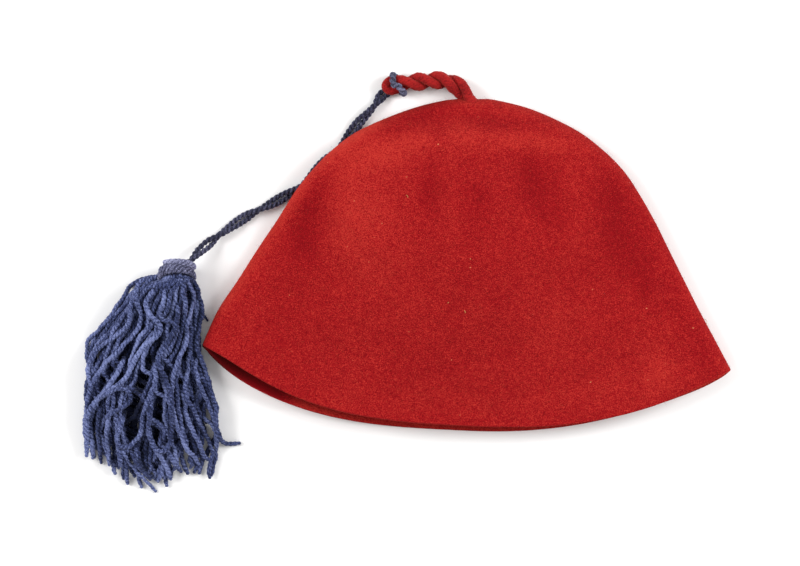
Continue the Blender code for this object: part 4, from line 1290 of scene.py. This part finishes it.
def head_line():
    """The strand wound over the head's dome, from where the cord goes in down to the binding."""
    slope = np.linspace(HEAD_START, 1.0, 260)
    angle = 2 * math.pi * HEAD_TURNS * (slope - HEAD_START) / (1 - HEAD_START) + 0.6
    bend = slope * math.pi / 2
    radius = (0.84 * HEAD_RADIUS - 0.0010) * np.sin(bend)
    x = radius * np.cos(angle) + 0.62 * ENTRY_SIDE * np.cos(bend)
    z = radius * np.sin(angle)
    y = BINDING_TOP + 0.0004 + (HEAD_DOME - 0.0022) * np.cos(bend)
    y = y - HEAD_TILT * x + HEAD_SAG * edge_rise(z)
    return np.column_stack([HEAD_X + x + HEAD_LEAN * (y - BINDING_TOP), y, HEAD_Z + z])


def edge_rise(z):
    """How far the binding's turns bow towards the head's top, by height over the head's middle."""
    return np.clip(z / HEAD_RADIUS, -0.4, 1.0)


def binding_line():
    """The strand wound round the neck, bowed and leaning as in the photograph."""
    turns = np.linspace(0, WRAPS + BINDING_TAIL, BINDING_RINGS)
    share = turns / turns[-1]
    swell = np.interp(turns, (0.0, 1.0, 2.0), (0.86, 0.97, 1.0))
    radius = (HEAD_RADIUS - WRAP / 2) * swell
    angle = -math.pi / 2 + 2 * math.pi * turns
    x = radius * np.cos(angle)
    z = radius * np.sin(angle)
    y = BINDING_TOP - WRAP / 2 - (BINDING_LENGTH - WRAP) * share
    tilt = HEAD_TILT + (NECK_TILT - HEAD_TILT) * share
    sag = HEAD_SAG + (NECK_SAG - HEAD_SAG) * share
    y = y - tilt * x + sag * edge_rise(z)
    return np.column_stack([HEAD_X + x + HEAD_LEAN * (y - SKIRT_TOP), y, HEAD_Z + z])


def make_core(material):
    """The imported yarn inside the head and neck, which shows only between strands."""
    radius = HEAD_RADIUS - WRAP
    rings = [(radius * (1 - lift ** CORE_POWER) ** (1 / CORE_POWER), BINDING_TOP + CORE_RISE * lift)
             for lift in (0.97, 0.8, 0.5, 0.2, 0.0)]
    rings += [(radius - 0.0008, SKIRT_TOP + 0.0045), (radius - 0.0028, SKIRT_TOP),
              (radius - 0.0034, SKIRT_TOP - 0.004)]
    size, y = np.array(rings).T[..., None]
    turns = np.linspace(0, 2 * math.pi, 24, endpoint=False)
    points = np.stack([HEAD_X + size * np.cos(turns), y + 0 * turns, HEAD_Z + size * np.sin(turns)], axis=-1)
    rows, sides, _ = points.shape
    faces = [list(range(sides))[::-1], list(range((rows - 1) * sides, rows * sides))]
    faces += ring_quads(0, rows, sides).tolist()
    return mesh_from("tassel_head_core", points.reshape(-1, 3), faces, material)


def yarn_fuzz(lines, radii, count, length, seed, ends=0):
    """Roots, outward and lengthwise directions and lengths of fibres on strands."""
    rng = np.random.default_rng(seed)
    strands, rings, _ = lines.shape
    tangents, normals, binormals = carried_frames(lines)
    strand = rng.integers(0, strands, count)
    ring = rng.integers(2, rings - 1, count)
    if ends:
        tail = rng.random(count) < ends
        ring = np.where(tail, rings - 1 - rng.integers(0, 5, count), ring)
    outward = turned(rng.uniform(0, 2 * math.pi, count), normals[strand, ring], binormals[strand, ring])
    roots = lines[strand, ring] + outward * (radii[strand, ring] * 0.8)[:, None]
    lie = tangents[strand, ring] * rng.choice([-1.0, 1.0, 1.0], count)[:, None]
    lengths = length * rng.uniform(0.5, 1.6, count)
    return roots, outward, lie, lengths


def cap_fuzz(rings, outward, down, count, seed):
    """Roots, directions and lengths of the fibres that stand up from the felt."""
    rng = np.random.default_rng(seed)
    rows, sides, _ = rings.shape
    size = np.linalg.norm(np.roll(rings, -1, axis=1) - rings, axis=2)
    size *= np.linalg.norm(np.concatenate([rings[1:], rings[-1:]]) - rings, axis=2) + 1e-9
    weight = size.ravel()
    pick = rng.choice(rows * sides, count, p=weight / weight.sum())
    row, side = np.unravel_index(pick, (rows, sides))
    after = (side + 1) % sides
    below = np.minimum(row + 1, rows - 1)
    u, v = rng.random((2, count, 1))
    over = rings[row, side] + (rings[row, after] - rings[row, side]) * u
    under = rings[below, side] + (rings[below, after] - rings[below, side]) * u
    roots = over + (under - over) * v
    out = outward[row, side]
    lie = turned(rng.uniform(0, 2 * math.pi, count), down[row, side], np.cross(out, down[row, side]))
    lengths = np.minimum(rng.gamma(3.0, 0.0005, count), 0.0035)
    return roots, out * 0.55, lie, lengths


def felt_height(rings, place):
    """Height of the felt's upper face at a place in plan."""
    flat = rings.reshape(-1, 3)
    far = np.linalg.norm(flat[:, :2] - np.array(place), axis=1) - 0.02 * flat[:, 2]
    return flat[np.argmin(far), 2]


def make_lint(rings, material):
    """Specks and a curled fibre that lie on the felt."""
    lines = []
    for lint in LINT:
        line = smooth_curve([(CROWN.x + x / 1000, CROWN.y - down / 1000) for x, down in lint], 10)
        line = evenly(line, LINT_RINGS)
        z = np.array([felt_height(rings, place) for place in line]) + 0.0003
        lines.append(np.column_stack([line, blur(z, 2)]))
    lines = np.array(lines)
    radii = np.full(lines.shape[:2], LINT_RADIUS) * (1 - 0.5 * np.linspace(0, 1, LINT_RINGS) ** 2)
    return make_yarn("felt_lint", lines, radii, material, round_section(5), seed=91)


def make_lights():
    """Bright even studio light: a white room and a soft light on either side."""
    world = bpy.data.worlds.new("studio")
    bpy.context.scene.world = world
    world.use_nodes = True
    back = world.node_tree.nodes["Background"]
    back.inputs["Color"].default_value = ROOM_COLOUR
    back.inputs["Strength"].default_value = ROOM_STRENGTH
    for lamp in LAMPS:
        data = bpy.data.lights.new(lamp.name, "AREA")
        data.shape = "SQUARE"
        data.size = LAMP_SIZE
        data.energy = lamp.watts
        light = bpy.data.objects.new(lamp.name, data)
        light.location = lamp.place
        aim = Vector(LAMP_AIM) - light.location
        light.rotation_euler = aim.to_track_quat("-Z", "Y").to_euler()
        bpy.context.scene.collection.objects.link(light)


def make_floor():
    """A wide pale floor."""
    points = FLOOR_REACH * np.array([(-1.0, -1.0, 0.0), (1.0, -1.0, 0.0), (1.0, 1.0, 0.0), (-1.0, 1.0, 0.0)])
    floor = mesh_from("floor", points, [(0, 1, 2, 3)], floor_material())


def make_materials():
    """Every material of the hat, by what it is for."""
    blue = (0.62, 0.66, 0.95)
    return {
        "skirt": yarn_material("blue_wool", (0.005, 0.007, 0.024), (0.032, 0.043, 0.122),
                               (0.190, 0.226, 0.44), blue),
        "head": yarn_material("blue_wool_head", (0.018, 0.018, 0.038), (0.118, 0.122, 0.215),
                              (0.37, 0.38, 0.55), blue),
        "cord": yarn_material("blue_wool_cord", (0.008, 0.008, 0.016), (0.034, 0.035, 0.066),
                              (0.13, 0.13, 0.21), blue),
        "hitch": yarn_material("blue_wool_hitch", (0.020, 0.021, 0.036), (0.080, 0.082, 0.135),
                               (0.24, 0.24, 0.36), blue),
        "rope": yarn_material("red_wool", (0.040, 0.001, 0.002), (0.172, 0.0026, 0.0045),
                              (0.33, 0.010, 0.010), (1.0, 0.35, 0.25), streaks=0.8),
        "felt": felt_material("red_felt_wool", (0.165, 0.0018, 0.0045), (0.270, 0.0052, 0.0078),
                              (0.43, 0.028, 0.020), (0.62, 0.26, 0.12)),
        "red fibre": fibre_material("red_fibre", (0.25, 0.006, 0.006), (0.45, 0.040, 0.018),
                                    (1.0, 0.4, 0.2)),
        "lint": fibre_material("straw_fibre", (0.42, 0.16, 0.05), (0.60, 0.33, 0.12), (1.0, 0.8, 0.5)),
        "blue fibre": fibre_material("blue_fibre", (0.050, 0.062, 0.15), (0.14, 0.165, 0.33), blue),
    }


def wound_strand(name, line, material, seed):
    """A strand wound round the tassel's head or neck."""
    radii = np.full((1, len(line)), HEAD_STRAND_RADIUS)
    return make_yarn(name, line[None], radii, material, ply_section(12, HEAD_PLY_SHARE), seed=seed)


def make_skirt(material):
    """The tassel's strands, as three pieces, and their lines and radii."""
    base, base_radii = base_strands()
    ground = Ground()
    for line, radius in zip(base, base_radii):
        ground.add(evenly(line, GROUND_POINTS), radius)
    over, over_radii = top_strands(ground)
    base = crimped([evenly(line, STRAND_RINGS) for line in base], BASE_CRIMP, 51)
    over = crimped([evenly(line, STRAND_RINGS) for line in over], TOP_CRIMP, 52)
    sizes = np.concatenate([strand_radii(base, base_radii, 61), strand_radii(over, over_radii, 62, root=0.9)])
    lines = on_floor(np.concatenate([base, over]), sizes)
    section = ply_section(STRAND_SIDES, SKIRT_PLY_SHARE)
    half = BASE_STRANDS // 2
    pieces = []
    for name, part, seed in (("inner", slice(0, half), 71), ("outer", slice(half, BASE_STRANDS), 72),
                             ("top", slice(BASE_STRANDS, None), 73)):
        pieces.append(make_yarn("tassel_strands_" + name, lines[part], sizes[part], material, section,
                                seed=seed))
    for piece in pieces:
        mark_painted_depth_shade(piece)
    return pieces, lines, sizes


def main():
    """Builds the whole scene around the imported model."""
    make_camera()
    bpy.context.scene.view_settings.view_transform = "Standard"
    looks = make_materials()
    cord, middle, cord_strands, cord_radii = make_cord(looks["cord"])
    hitch = make_hitch(looks["hitch"])
    rope, rope_lines, rope_radii = make_rope(looks["rope"])
    cap, *skin = make_cap(looks["felt"])
    dome = wound_strand("tassel_head", evenly(head_line(), WOUND_RINGS), looks["head"], 21)
    core = make_core(looks["head"])
    binding = wound_strand("tassel_binding_strand", binding_line(), looks["head"], 22)
    skirt, strands, sizes = make_skirt(looks["skirt"])

    fuzz = [
        make_fibres(name, *roots, radius, looks[look], seed)
        for name, roots, radius, look, seed in (
            ("felt_fuzz", cap_fuzz(*skin, FELT_FIBRES, 81), FIBRE_RADIUS, "red fibre", 82),
            ("tassel_fuzz", yarn_fuzz(strands, sizes, YARN_FIBRES, 0.0016, 83, ends=0.10), FIBRE_RADIUS,
             "blue fibre", 84),
            ("cord_fuzz", yarn_fuzz(cord_strands, cord_radii, CORD_FIBRES, 0.0012, 85), CORD_FIBRE_RADIUS,
             "blue fibre", 86),
            ("rope_fuzz", yarn_fuzz(rope_lines, rope_radii, ROPE_FIBRES, 0.0013, 87), FIBRE_RADIUS,
             "red fibre", 88),
        )
    ]
    lint = make_lint(skin[0], looks["lint"])

    for piece in (cord, hitch, rope, cap, dome, core, binding, *skirt, *fuzz, lint):
        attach(piece, "root")
    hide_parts("tassel_cord")
    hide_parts("cord_hitch")
    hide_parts("crown_loop")
    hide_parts("felt_cap")
    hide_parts("tassel_binding")
    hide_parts("tassel")
    make_floor()
    make_lights()


main()
